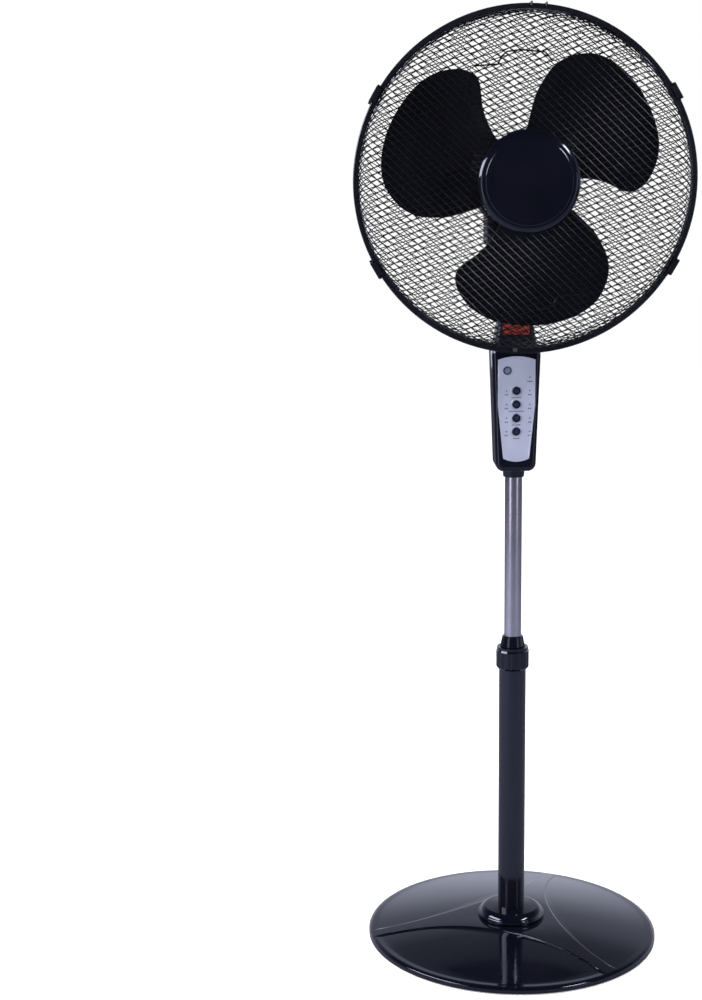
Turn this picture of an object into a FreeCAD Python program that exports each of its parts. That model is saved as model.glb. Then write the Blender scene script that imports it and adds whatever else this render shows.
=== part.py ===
import FreeCAD, Part
# Pedestal fan on a round weighted base, as separate solids, one STEP file per sub-part.
# Frame: millimetres, +Z up, origin on the floor at the centre of the base. The fan faces -Y.
# Along the fan's own axis, places are "forward" distances from the pole's axis (forward = -Y).
import math
import os

from FreeCAD import Placement, Rotation, Vector

# ---------------------------------------------------------------- clearances and fits
RUNNING = 0.05            # radial play of a pin or shaft that turns in its bore
SLIDING = 0.10            # radial play of a tube that slides in its collet
FREE = 0.30               # gap between pieces that only pass each other
SEAT = 0.02               # gap of pieces that are assembled tight

# ---------------------------------------------------------------- base
BASE_RADIUS = 203.0
BASE_GAP = 2.0            # floor to the lower edge of the cover
RIM_HEIGHT = 9.5          # floor to the top of the rim
DOME_HEIGHT = 26.5        # floor to the dome where the pole flange sits
BASE_WALL = 2.5
PANEL_STEP = 1.2          # the three arc-edged panels lie this much below the star between them
PANEL_ARC_RADIUS = 300.0
PANEL_ARC_NEAREST = 58.0  # shortest distance from the pole's axis to a panel's arc
PANEL_ANGLE = 7.0
PANEL_COUNT = 3
FLANGE_RADIUS = 47.0      # pole flange that covers the hole in the base
FLANGE_HEIGHT = 15.0
FLANGE_WALL = 2.5
WEIGHT_RADIUS = BASE_RADIUS - 23.0
WEIGHT_THICKNESS = 4.0
WEIGHT_BOTTOM = 4.5
FOOT_COUNT = 6
FOOT_RADIUS = 9.0
FOOT_CIRCLE = BASE_RADIUS - 38.0
FOOT_STEM_RADIUS = 3.0
BASE_BOLT_RADIUS = 5.0
BASE_BOLT_HEAD = 10.0
BASE_BOLT_HEAD_HEIGHT = 2.8

# ---------------------------------------------------------------- pole
LOWER_TUBE_RADIUS = 18.7
LOWER_TUBE_WALL = 1.5
LOWER_TUBE_TOP = 400.0
UPPER_TUBE_RADIUS = 11.8
UPPER_TUBE_WALL = 1.0
INSERTED_LENGTH = 148.0   # chrome tube hidden in the lower tube, at rest
FOOT_PLUG_LENGTH = 20.0
END_PLUG_LENGTH = 22.0
END_PLUG_SPIGOT = 16.0
COLLET_DEPTH = 40.0
COLLET_FLANGE = 3.2
COLLET_CONE_HEIGHT = 15.5
COLLET_NECK_RADIUS = 16.8
COLLET_TIP_RADIUS = 14.4
NUT_RADIUS = 22.7
NUT_FLUTES = 14
NUT_FLUTE_RADIUS = 3.2
NUT_BELOW = 9.0           # nut's skirt below the top of the lower tube
NUT_ABOVE = 22.5

# ---------------------------------------------------------------- control housing
HOUSING_BOTTOM = 673.0
HOUSING_TOP = HOUSING_BOTTOM + 169.0
HOUSING_HALF_BOTTOM = 26.8
HOUSING_HALF_TOP = 33.0
HOUSING_FRONT = 32.0
HOUSING_BACK = 24.0
HOUSING_CORNER = 11.0
HOUSING_EDGE = 6.5
HOUSING_WALL = 2.4
HOUSING_SPLIT = 6.0       # forward place of the joint between the two shells
SOCKET_RADIUS_TOP = UPPER_TUBE_RADIUS + 3.4
SOCKET_RADIUS_BOTTOM = UPPER_TUBE_RADIUS + 2.4
SOCKET_RING_HEIGHT = 11.0
SOCKET_DEPTH = 32.0
SOCKET_NECK = UPPER_TUBE_RADIUS + 1.7   # radius of the collar where it passes the housing's floor
SOCKET_CAP = 3.5
PANEL_TOP = HOUSING_TOP - 13.0
PANEL_BOTTOM = HOUSING_BOTTOM + 14.0
PANEL_HALF_TOP = 25.0
PANEL_HALF_BOTTOM = 17.6
PANEL_STRAIGHT = HOUSING_TOP - 78.0   # below this height the panel narrows
PANEL_BULGE = 4.5         # rise of the arched top and bottom edges
PANEL_THICKNESS = 1.6
PANEL_PROUD = 0.8
BUTTON_RADIUS = 5.3
BUTTON_HEIGHTS = tuple(HOUSING_TOP - drop for drop in (59.1, 77.5, 95.9, 114.0))
BUTTON_PROUD = 2.0
BUTTON_TRAVEL = 1.0
BUTTON_FLANGE = 1.3
SWITCH_HEIGHT = 5.0
LED_RADIUS = 0.9
LED_LEFT_X = -13.4
LED_RIGHT_X = 17.8
LED_EXTRA_HEIGHT = HOUSING_TOP - 41.2   # one more light on the right, above the buttons
WINDOW_RADIUS = 5.6
WINDOW_X = -12.4
WINDOW_Z = HOUSING_TOP - 32.0
BOARD_FORWARD = 11.0
BOARD_THICKNESS = 1.6
BOARD_HALF_WIDTH = 22.0
SCREW_RADIUS = 1.9
SCREW_HEAD_RADIUS = 3.4
SCREW_X = 21.5
SCREW_HEIGHTS = (HOUSING_BOTTOM + 27.0, HOUSING_TOP - 24.0)
CAPACITOR_SIZE = (30.0, 14.0, 36.0)
INLET_RADIUS = 6.5
INLET_LENGTH = 14.0
INLET_Z = HOUSING_BOTTOM + 19.0
CORD_RADIUS = 3.3

# ---------------------------------------------------------------- neck, tilt and swing
COLUMN_HALF_BOTTOM = 29.0
COLUMN_DEPTH_BOTTOM = 24.0
COLUMN_HALF_TOP = 17.5
COLUMN_DEPTH_TOP = 16.0
COLUMN_HEIGHT = 63.0
HINGE_Z = HOUSING_TOP + COLUMN_HEIGHT + 20.0
EAR_RADIUS = 13.0
EAR_THICKNESS = 5.0
TILT_BOLT_RADIUS = 4.0
TILT_BOLT_HEAD = 7.0
KNOB_RADIUS = 14.0
KNOB_LENGTH = 15.0
KNOB_FLUTES = 8
LABEL_HEIGHT = 17.0
LABEL_HALF = 18.0
LABEL_Z = HOUSING_TOP + 23.3
LABEL_THICKNESS = 0.5
YOKE_SHOULDER = 23.0      # tilt axis to the lower face of the swing socket
YOKE_SOCKET_RADIUS = 17.0
YOKE_SOCKET_HEIGHT = 24.0
PIVOT_RADIUS = 6.0
BUSH_WALL = 2.0
PIVOT_DEPTH = 20.0
SWING_GAP = 1.5           # socket to the gear case above it
CRANK_BACK = 26.0         # swing axis to the crank's axis
CRANK_THROW = 18.0
CRANK_PIN_RADIUS = 2.5
CRANK_THICKNESS = 4.0
SLOT_PLAY = 1.3           # side play of the crank pin in the slotted arm
ARM_THICKNESS = 3.0
ARM_DROP = 14.0           # socket top to the top of the slotted arm

# ---------------------------------------------------------------- motor
AXIS_Z = HINGE_Z + YOKE_SHOULDER + YOKE_SOCKET_HEIGHT + SWING_GAP + 85.1
CASE_HALF = 27.0
CASE_FRONT = 12.0
CASE_BACK = 54.0
CASE_WALL = 3.0
SADDLE_RADIUS = 50.3
SWING_MOTOR_RADIUS = 22.0
SWING_MOTOR_HEIGHT = 14.0
BRACKET_RADIUS = 50.0
BRACKET_THICKNESS = 4.0
FRONT_BRACKET = 50.0      # forward place of the front bracket's rear face
REAR_BRACKET = -38.0
STATOR_RADIUS = 45.0
STATOR_BORE = 29.5
STATOR_REAR = -18.0
STATOR_LENGTH = 40.0
WINDING_RADIUS = 40.5
WINDING_LENGTH = 13.0
ROTOR_RADIUS = 28.8
SHAFT_RADIUS = 4.0
BEARING_RADIUS = 11.0
BEARING_WIDTH = 7.0
COLLAR_RADIUS = 26.0
COLLAR_BORE = 20.0
COLLAR_LENGTH = 14.0
COVER_RADIUS = 58.5
COVER_WALL = 2.2
COVER_REAR = -66.0
COVER_FRONT = 54.5
COVER_CORNER = 22.0
FAIRING_HALF = 38.0
FAIRING_FRONT = 16.0
FAIRING_BACK = 58.0
FAIRING_CORNER = 9.0
VENT_COUNT = 18
VENT_WIDTH = 3.4
VENT_LENGTH = 20.0
VENT_RADIUS = 28.0

# ---------------------------------------------------------------- fan wheel
BLADE_COUNT = 3
HOOP_RADIUS = 216.5       # outside of the guard's hoop, which drives the blades and the guard
BLADE_TIP = HOOP_RADIUS - 32.5
BLADE_SIZE = BLADE_TIP / 184.0   # the blade tables below are for a tip radius of 184
BLADE_THICKNESS = 1.8
BLADE_REFERENCE = 40.5    # polar angle of the first blade, anticlockwise from +X, from the front
BLADE_MID = 111.0         # forward place of the blades' mid line
HUB_RADIUS = 33.0
HUB_WALL = 2.6
HUB_REAR = 84.0
HUB_FRONT = 126.0
SHAFT_FRONT = 139.0
SPINNER_RADIUS = 17.0
SPINNER_FRONT = 146.0
# (radius, leading edge, trailing edge): half-widths of a blade in degrees
BLADE_EDGES = (
    (28.0, -40.0, 46.0), (73.0, -38.5, 47.5), (92.0, -40.0, 45.0), (106.0, -42.0, 43.5),
    (125.0, -45.6, 40.0), (140.0, -46.8, 37.0), (155.0, -43.6, 32.5), (167.0, -37.5, 27.0),
)
BLADE_TIP_ARC = ((177.5, -28.0), (182.0, -15.0), (184.0, 0.0), (182.4, 12.0), (177.0, 20.5))
# (distance from the fan's axis, pitch in degrees) of the blade sections
BLADE_PITCH = ((8.0, 29.0), (45.0, 24.0), (85.0, 17.5), (125.0, 14.5), (160.0, 12.5), (192.0, 11.5))
BLADE_CAMBER = 5.0
BLADE_HALF_CHORD = 125.0 * BLADE_SIZE

# ---------------------------------------------------------------- guard
RING_FORWARD = 118.0
HOOP_LIP = HOOP_RADIUS - 6.2
HOOP_HALF_WIDTH = 8.0
HOOP_WALL = 1.5
BEAD_RADIUS = HOOP_RADIUS - 7.7
MESH_THICKNESS = 0.6
FRONT_SHOULDER = (HOOP_RADIUS - 28.5, 151.5)
FRONT_CENTRE = (54.0, 165.5)
REAR_SHOULDER = (HOOP_RADIUS - 28.5, 81.0)
REAR_CENTRE = (50.0, 61.0)
PLATE_RADIUS = 60.0
PLATE_THICKNESS = 2.0
GUARD_NUT_RADIUS = 37.0
GUARD_NUT_THICKNESS = 8.0
GUARD_NUT_GRIPS = 6
BADGE_RADIUS = 63.4
BADGE_FACE_RADIUS = 52.9
BADGE_FRONT = 175.8
BADGE_WALL = 2.4
BACKING_RADIUS = 60.0
BACKING_THICKNESS = 2.2
CLIP_ANGLES = (30.0, 150.0, 210.0, 330.0)
CLIP_LENGTH = 22.0
CLIP_THICKNESS = 3.2
CLIP_PIN_RADIUS = 1.25
CLIP_BARREL_RADIUS = 2.3
HOOP_SCREW_ANGLE = 266.8
HOOP_SCREW_RADIUS = 1.6
HOOK_ANGLES = (83.5, 88.4)
HOOK_WIRE_RADIUS = 1.2

FREE_CURVE_RADIUS = 60.0  # a larger arc stays a free curve: turned, it would cross itself as a torus

OUT = "parts"
UP = Vector(0, 0, 1)
FAN_AXIS = Vector(0, 0, AXIS_Z)


# ================================================================ helpers
def write(name, solids):
    """Write one node, which is one solid or a group of like solids."""
    shape = solids if isinstance(solids, Part.Shape) else Part.makeCompound(solids)
    shape.exportStep(os.path.join(OUT, name + ".step"))


def rod(radius, start, end):
    """A round bar between two points."""
    run = end - start
    return Part.makeCylinder(radius, run.Length, start, run)


def pipe(outer, inner, start, end):
    """A tube between two points."""
    return rod(outer, start, end).cut(rod(inner, start, end))


def block(x0, x1, y0, y1, z0, z1):
    """A box from its six faces."""
    return Part.makeBox(x1 - x0, y1 - y0, z1 - z0, Vector(x0, y0, z0))


def outline(points):
    """A closed wire. A point is a vector, or a pair (via, end) for an arc from the last point."""
    edges = []
    last = points[0]
    for item in list(points[1:]) + [points[0]]:
        if isinstance(item, tuple):
            arc = Part.Arc(last, item[0], item[1]).toShape()
            if arc.Curve.Radius > FREE_CURVE_RADIUS:
                arc = arc.Curve.toBSpline(arc.FirstParameter, arc.LastParameter).toShape()
            edges.append(arc)
            last = item[1]
        elif (item - last).Length > 1e-6:
            edges.append(Part.LineSegment(last, item).toShape())
            last = item
    return Part.Wire(edges)


def turned(profile):
    """Turn a closed (radius, height) profile about the pole's axis. Nested pairs are arcs."""
    points = [tuple(Vector(r, 0, z) for r, z in item) if isinstance(item[0], tuple)
              else Vector(item[0], 0, item[1]) for item in profile]
    return Part.Face(outline(points)).revolve(Vector(0, 0, 0), UP, 360)


def cap(edge_radius, edge_height, top_height):
    """(via, end) of the arc from an edge to the axis that makes a ball-shaped cap when turned."""
    rise = top_height - edge_height
    ball = (edge_radius ** 2 + rise ** 2) / (2.0 * rise)
    half = edge_radius / 2.0
    return (half, top_height - ball + math.sqrt(ball ** 2 - half ** 2)), (0, top_height)


def fan_placement():
    """From a frame with +Z along the fan's axis to the part's frame: +Z becomes forward."""
    return Placement(FAN_AXIS, Rotation(Vector(1, 0, 0), 90))


def on_fan_axis(shape):
    """Place a shape that was made about +Z on the fan's axis, its +Z forward."""
    moved = shape.copy()
    moved.Placement = fan_placement().multiply(moved.Placement)
    return moved


def on_ring(angle, radius, forward):
    """A point near the guard, by its polar angle seen from the front."""
    turn = math.radians(angle)
    return Vector(radius * math.cos(turn), -forward, AXIS_Z + radius * math.sin(turn))


def around(count, start=0.0):
    """Angles of a regular pattern."""
    return [start + 360.0 * i / count for i in range(count)]


def polar(radius, angle, z=0.0):
    """A point at a polar angle about the pole's axis."""
    turn = math.radians(angle)
    return Vector(radius * math.cos(turn), radius * math.sin(turn), z)


# ================================================================ base
def dome_height(radius):
    """Height of the low dome at a radius."""
    share = max(0.0, (radius - FLANGE_RADIUS) / (BASE_RADIUS - FLANGE_RADIUS))
    return DOME_HEIGHT - (DOME_HEIGHT - RIM_HEIGHT) * share ** 1.5


def dome(raise_by, inset):
    """A solid dome: the cover's outside, or with an inset the space inside it."""
    top = raise_by - inset
    edge = BASE_RADIUS - inset
    middle = 0.5 * (FLANGE_RADIUS + BASE_RADIUS)
    hole = LOWER_TUBE_RADIUS + FREE
    return turned([
        (hole, BASE_GAP), (edge, BASE_GAP), (edge, RIM_HEIGHT - 3.0 - inset),
        ((edge - 0.9, RIM_HEIGHT - 0.9 + top), (edge - 3.0, RIM_HEIGHT + top)),
        ((middle, dome_height(middle) + top), (FLANGE_RADIUS, DOME_HEIGHT + top)),
        (hole, DOME_HEIGHT + top)])


def panel_cutters():
    """Three large upright cylinders whose walls are the arc edges of the raised panels."""
    centre = PANEL_ARC_RADIUS + PANEL_ARC_NEAREST
    return [Part.makeCylinder(PANEL_ARC_RADIUS, 60, polar(centre, a))
            for a in around(PANEL_COUNT, PANEL_ANGLE)]


def base_cover():
    """Shallow domed cover with a raised three-armed star between arc-edged panels."""
    cover = dome(0.0, 0.0)
    skin = cover.cut(dome(-PANEL_STEP, 0.0)).common(Part.makeCylinder(BASE_RADIUS - 7.0, 60))
    for cutter in panel_cutters():
        cover = cover.cut(skin.common(cutter))
    inside = dome(0.0, BASE_WALL).common(Part.makeCylinder(BASE_RADIUS, 60, Vector(0, 0, BASE_GAP)))
    hollow = inside.fuse(Part.makeCylinder(BASE_RADIUS - BASE_WALL, 1.0, Vector(0, 0, BASE_GAP)))
    return cover.cut(hollow).removeSplitter()


def base_weight():
    """Round steel plate with holes for the centre bolt and the feet."""
    plate = Part.makeCylinder(WEIGHT_RADIUS, WEIGHT_THICKNESS, Vector(0, 0, WEIGHT_BOTTOM))
    plate = plate.cut(rod(BASE_BOLT_RADIUS + FREE, Vector(0, 0, 0), Vector(0, 0, 20)))
    for angle in around(FOOT_COUNT):
        hole = polar(FOOT_CIRCLE, angle)
        plate = plate.cut(rod(FOOT_STEM_RADIUS + SEAT, hole, hole + UP * 20))
    return plate


def base_feet():
    """Soft round feet, each with a stem through the weight and a button above it."""
    foot = turned([(0, 0), (FOOT_RADIUS - 1.0, 0), (FOOT_RADIUS, 1.0), (FOOT_RADIUS, WEIGHT_BOTTOM),
                   (FOOT_STEM_RADIUS, WEIGHT_BOTTOM),
                   (FOOT_STEM_RADIUS, WEIGHT_BOTTOM + WEIGHT_THICKNESS - SEAT),
                   (0, WEIGHT_BOTTOM + WEIGHT_THICKNESS - SEAT)])
    return [foot.translated(polar(FOOT_CIRCLE, a)) for a in around(FOOT_COUNT)]


def base_bolt():
    """Low-head bolt up through the weight into the foot plug, with a hexagon socket."""
    top = WEIGHT_BOTTOM + WEIGHT_THICKNESS + 0.8 * FOOT_PLUG_LENGTH
    head_bottom = WEIGHT_BOTTOM - BASE_BOLT_HEAD_HEIGHT
    bolt = rod(BASE_BOLT_HEAD, Vector(0, 0, head_bottom), Vector(0, 0, WEIGHT_BOTTOM))
    bolt = bolt.fuse(rod(BASE_BOLT_RADIUS, Vector(0, 0, WEIGHT_BOTTOM), Vector(0, 0, top)))
    socket = Part.Wire(Part.makePolygon([polar(3.4, a, head_bottom) for a in around(6)] +
                                        [polar(3.4, 0, head_bottom)]))
    return bolt.cut(Part.Face(socket).extrude(UP * 2.0)).removeSplitter()


def tube_foot():
    """Threaded plug that closes the lower end of the lower tube."""
    bottom = WEIGHT_BOTTOM + WEIGHT_THICKNESS
    inner = LOWER_TUBE_RADIUS - LOWER_TUBE_WALL - SEAT
    return pipe(inner, BASE_BOLT_RADIUS + SEAT, Vector(0, 0, bottom),
                Vector(0, 0, bottom + FOOT_PLUG_LENGTH))


def pole_flange():
    """Hollow round flange that hides the hole where the pole enters the base."""
    hole = LOWER_TUBE_RADIUS + SEAT
    low = DOME_HEIGHT + SEAT
    high = low + FLANGE_HEIGHT
    rim = FLANGE_RADIUS
    wall = FLANGE_WALL
    return turned([
        (rim - wall, low), (rim - 1.0, low), ((rim, low + 2.6), (rim - 1.2, low + 6.5)),
        ((rim - 4.4, low + 11.0), (rim - 10.5, high - 1.2)), (hole, high), (hole, high - wall),
        (rim - 11.5, high - 1.2 - wall), ((rim - 6.3, low + 9.0), (rim - 1.2 - wall, low + 5.6))])


def lower_tube():
    """Painted lower tube of the pole."""
    bottom = WEIGHT_BOTTOM + WEIGHT_THICKNESS
    return pipe(LOWER_TUBE_RADIUS, LOWER_TUBE_RADIUS - LOWER_TUBE_WALL,
                Vector(0, 0, bottom), Vector(0, 0, LOWER_TUBE_TOP))


# ================================================================ height clamp
COLLET_TOP = LOWER_TUBE_TOP + NUT_ABOVE + COLLET_CONE_HEIGHT


def clamp_collet():
    """Split plastic sleeve that grips the chrome tube; its cone shows above the nut."""
    bore = UPPER_TUBE_RADIUS + SLIDING
    inside = LOWER_TUBE_RADIUS - LOWER_TUBE_WALL - SEAT
    shelf = LOWER_TUBE_TOP + SEAT
    cone = LOWER_TUBE_TOP + NUT_ABOVE + FREE
    sleeve = turned([
        (bore, LOWER_TUBE_TOP - COLLET_DEPTH), (inside, LOWER_TUBE_TOP - COLLET_DEPTH),
        (inside, shelf), (LOWER_TUBE_RADIUS, shelf), (LOWER_TUBE_RADIUS, shelf + COLLET_FLANGE),
        (COLLET_NECK_RADIUS, shelf + COLLET_FLANGE), (COLLET_NECK_RADIUS, cone + 1.5),
        (COLLET_TIP_RADIUS, COLLET_TOP - 1.0), (COLLET_TIP_RADIUS - 1.0, COLLET_TOP),
        (bore, COLLET_TOP)])
    for angle in around(4, 45.0):
        slit = block(bore - 1.0, COLLET_NECK_RADIUS + 3.0, -0.5, 0.5, shelf + 8.0, cone - 1.0)
        sleeve = sleeve.cut(slit.rotated(Vector(0, 0, 0), UP, angle))
    return sleeve


def lock_nut():
    """Fluted nut that squeezes the collet when it is turned."""
    low = LOWER_TUBE_TOP - NUT_BELOW
    high = LOWER_TUBE_TOP + NUT_ABOVE
    step = LOWER_TUBE_TOP + COLLET_FLANGE + SEAT + FREE
    wide = LOWER_TUBE_RADIUS + FREE
    narrow = COLLET_NECK_RADIUS + FREE
    nut = turned([
        (wide, low), (NUT_RADIUS - 2.5, low), (NUT_RADIUS, low + 3.0), (NUT_RADIUS, high - 6.0),
        (NUT_RADIUS - 1.2, high - 3.5), (NUT_RADIUS - 1.2, high), (narrow + 1.6, high),
        (narrow, high - 1.6), (narrow, step), (wide, step)])
    for angle in around(NUT_FLUTES):
        foot = polar(NUT_RADIUS + NUT_FLUTE_RADIUS - 1.0, angle, low - 1.0)
        nut = nut.cut(rod(NUT_FLUTE_RADIUS, foot, foot + UP * (high - low - 6.0)))
    return nut


def upper_tube():
    """Chromed tube that slides in the lower one and carries the control housing."""
    return pipe(UPPER_TUBE_RADIUS, UPPER_TUBE_RADIUS - UPPER_TUBE_WALL,
                Vector(0, 0, COLLET_TOP - INSERTED_LENGTH),
                Vector(0, 0, HOUSING_BOTTOM + HOUSING_WALL + SOCKET_DEPTH - SOCKET_CAP))


def tube_end_plug():
    """Plastic plug that guides the lower end of the chrome tube."""
    seat = COLLET_TOP - INSERTED_LENGTH
    inner = UPPER_TUBE_RADIUS - UPPER_TUBE_WALL - SEAT
    wide = LOWER_TUBE_RADIUS - LOWER_TUBE_WALL - FREE
    return turned([
        (0, seat - END_PLUG_LENGTH), (wide, seat - END_PLUG_LENGTH), (wide, seat - SEAT),
        (inner, seat - SEAT), (inner, seat + END_PLUG_SPIGOT), (0, seat + END_PLUG_SPIGOT)])


# ================================================================ control housing
def housing_half(z):
    """Half the housing's width at a height."""
    share = (z - HOUSING_BOTTOM) / (HOUSING_TOP - HOUSING_BOTTOM)
    return HOUSING_HALF_BOTTOM + (HOUSING_HALF_TOP - HOUSING_HALF_BOTTOM) * share


def housing_block(inset):
    """The housing as one rounded block, or the space inside it."""
    corner = HOUSING_CORNER - inset
    low = HOUSING_BOTTOM + inset
    high = HOUSING_TOP - inset
    side_low = housing_half(low + corner) - inset
    side_high = housing_half(high - corner) - inset
    bow = corner * (1.0 - math.sqrt(0.5))

    def at(x, z):
        return Vector(x, -(HOUSING_FRONT - inset), z)

    wire = outline([
        at(-side_low + corner, low), at(side_low - corner, low),
        (at(side_low - bow, low + bow), at(side_low, low + corner)), at(side_high, high - corner),
        (at(side_high - bow, high - bow), at(side_high - corner, high)), at(-side_high + corner, high),
        (at(-side_high + bow, high - bow), at(-side_high, high - corner)),
        at(-side_low, low + corner), (at(-side_low + bow, low + bow), at(-side_low + corner, low))])
    depth = HOUSING_FRONT + HOUSING_BACK - 2.0 * inset
    body = Part.Face(wire).extrude(Vector(0, depth, 0))
    rounds = [e for e in body.Edges if abs(e.BoundBox.YMax - e.BoundBox.YMin) < 1e-6]
    return body.makeFillet(max(HOUSING_EDGE - inset, 1.0), rounds)


def panel_outline(grow):
    """Outline of the silver panel, grown or shrunk, on the plane y = 0."""
    top = PANEL_HALF_TOP + grow
    bottom = PANEL_HALF_BOTTOM + grow
    high = PANEL_TOP + grow
    low = PANEL_BOTTOM - grow
    return outline([
        Vector(-top, 0, high - PANEL_BULGE), (Vector(0, 0, high), Vector(top, 0, high - PANEL_BULGE)),
        Vector(top, 0, PANEL_STRAIGHT), Vector(bottom, 0, low + PANEL_BULGE),
        (Vector(0, 0, low), Vector(-bottom, 0, low + PANEL_BULGE)), Vector(-top, 0, PANEL_STRAIGHT)])


def led_places():
    """(x, z) of the small lights."""
    left = [(LED_LEFT_X, z) for z in BUTTON_HEIGHTS]
    right = [(LED_RIGHT_X, z) for z in (LED_EXTRA_HEIGHT,) + BUTTON_HEIGHTS]
    return left + right


def through(radius, x, z, front, back):
    """A round bar along the view direction, between two forward places."""
    return rod(radius, Vector(x, -front, z), Vector(x, -back, z))


def panel_holes(shape, front, back, extra):
    """Cut the holes of the buttons, the lights and the receiver's window."""
    for z in BUTTON_HEIGHTS:
        shape = shape.cut(through(BUTTON_RADIUS + FREE, 0, z, front, back))
    for x, z in led_places():
        shape = shape.cut(through(LED_RADIUS + extra, x, z, front, back))
    return shape.cut(through(WINDOW_RADIUS + extra, WINDOW_X, WINDOW_Z, front, back))


PANEL_SEAT = HOUSING_FRONT - PANEL_THICKNESS + PANEL_PROUD


def housing_shell():
    """Whole hollow housing, before it is split into its two shells."""
    shell = housing_block(0.0).cut(housing_block(HOUSING_WALL))
    below = Vector(0, 0, HOUSING_BOTTOM - 1.0)
    return shell.cut(rod(SOCKET_NECK + SEAT, below, below + UP * 8.0))


def housing_front():
    """Front shell with the recess and the holes behind the panel."""
    shell = housing_shell()
    shell = shell.common(block(-60, 60, -60, -HOUSING_SPLIT, HOUSING_BOTTOM - 5, HOUSING_TOP + 5))
    recess = Part.Face(panel_outline(SEAT)).extrude(Vector(0, -20, 0))
    shell = shell.cut(recess.translated(Vector(0, -PANEL_SEAT, 0)))
    shell = panel_holes(shell, HOUSING_FRONT + 1, HOUSING_FRONT - 8, 0.15)
    for x, z in screw_places():
        post = through(4.0, x, z, HOUSING_FRONT - HOUSING_WALL + 0.5, HOUSING_SPLIT)
        shell = shell.fuse(post).cut(through(SCREW_RADIUS + SEAT, x, z, HOUSING_SPLIT + 16, 0))
    return shell.removeSplitter()


def screw_places():
    """(x, z) of the four housing screws."""
    return [(x, z) for z in SCREW_HEIGHTS for x in (-SCREW_X, SCREW_X)]


def housing_rear():
    """Rear shell with its screw posts and the hole of the cord inlet."""
    shell = housing_shell()
    shell = shell.common(block(-60, 60, -HOUSING_SPLIT + SEAT, 60, HOUSING_BOTTOM - 5, HOUSING_TOP + 5))
    for x, z in screw_places():
        shell = shell.fuse(through(4.6, x, z, HOUSING_SPLIT - SEAT, -HOUSING_BACK + 1.0))
        shell = shell.cut(through(SCREW_RADIUS + 0.2, x, z, HOUSING_SPLIT, -HOUSING_BACK - 1))
        shell = shell.cut(through(SCREW_HEAD_RADIUS + 0.3, x, z, -HOUSING_BACK + 4.0, -HOUSING_BACK - 1))
    hole = through(INLET_RADIUS - 1.5 + SEAT, 0, INLET_Z, 0, -HOUSING_BACK - 1)
    return shell.cut(hole).removeSplitter()


def housing_screws():
    """Four screws from the back, in deep holes."""
    screws = []
    for x, z in screw_places():
        head = through(SCREW_HEAD_RADIUS, x, z, -HOUSING_BACK + 4.0 - SEAT, -HOUSING_BACK + 1.2)
        shank = through(SCREW_RADIUS, x, z, HOUSING_SPLIT + 14, -HOUSING_BACK + 4.0 - 2 * SEAT)
        cross = block(x - 2.2, x + 2.2, HOUSING_BACK - 2.4, HOUSING_BACK + 1, z - 0.4, z + 0.4)
        cross = cross.fuse(cross.rotated(Vector(x, 0, z), Vector(0, 1, 0), 90))
        screws.append(head.fuse(shank).cut(cross).removeSplitter())
    return screws


def panel_plate():
    """Silver panel with arched ends that narrows downwards."""
    plate = Part.Face(panel_outline(-SEAT)).extrude(Vector(0, -PANEL_THICKNESS + SEAT, 0))
    plate = plate.translated(Vector(0, -PANEL_SEAT - SEAT, 0))
    return panel_holes(plate, HOUSING_FRONT + 3, HOUSING_FRONT - 3, 0.1)


def ir_window():
    """Round receiver window with a shallow rim."""
    front = HOUSING_FRONT + PANEL_PROUD + 0.5
    disc = through(WINDOW_RADIUS, WINDOW_X, WINDOW_Z, front, HOUSING_FRONT - 4)
    return disc.cut(through(WINDOW_RADIUS - 1.2, WINDOW_X, WINDOW_Z, front + 1, front - 0.6))


def control_board():
    """Circuit board with a small switch behind every button and the receiver block."""
    low = PANEL_BOTTOM + 22.0
    high = PANEL_TOP - 4.0
    board = block(-BOARD_HALF_WIDTH, BOARD_HALF_WIDTH, -BOARD_FORWARD,
                  -BOARD_FORWARD + BOARD_THICKNESS, low, high)
    for x, z in screw_places():
        board = board.cut(through(4.6 + FREE + 0.4, x, z, BOARD_FORWARD + 5, BOARD_FORWARD - 5))
    top = BOARD_FORWARD + SWITCH_HEIGHT
    for z in BUTTON_HEIGHTS:
        board = board.fuse(block(-3.1, 3.1, -top, -BOARD_FORWARD, z - 3.1, z + 3.1))
    eye = block(WINDOW_X - 3, WINDOW_X + 3, -BOARD_FORWARD - 8, -BOARD_FORWARD, WINDOW_Z - 3, WINDOW_Z + 3)
    return board.fuse(eye).removeSplitter()


def indicator_leds():
    """Small lights with stems that reach from the board to the panel's face."""
    front = HOUSING_FRONT + PANEL_PROUD + 0.3
    return [through(LED_RADIUS, x, z, front, BOARD_FORWARD + SEAT) for x, z in led_places()]


def button(z):
    """Round push button with a flange behind the shell and a stem to its switch."""
    front = HOUSING_FRONT + PANEL_PROUD + BUTTON_PROUD
    wall = HOUSING_FRONT - HOUSING_WALL - FREE
    cap = through(BUTTON_RADIUS, 0, z, front, wall)
    rim = cap.Edges
    front_edges = [e for e in rim if abs(e.BoundBox.YMin + front) < 1e-4 and len(e.Vertexes) < 2]
    cap = cap.makeFillet(0.9, front_edges)
    flange = through(BUTTON_RADIUS + BUTTON_FLANGE, 0, z, wall, wall - 1.6)
    stem_end = BOARD_FORWARD + SWITCH_HEIGHT + BUTTON_TRAVEL + FREE
    stem = through(2.0, 0, z, wall - 1.0, stem_end)
    return cap.fuse(flange).fuse(stem).removeSplitter()


def run_capacitor():
    """Motor capacitor on the inside of the rear shell."""
    wide, deep, tall = CAPACITOR_SIZE
    back = HOUSING_BACK - HOUSING_WALL - 0.5
    box = block(-wide / 2, wide / 2, back - deep, back, 750.0, 750.0 + tall)
    return box.makeFillet(1.5, box.Edges)


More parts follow.
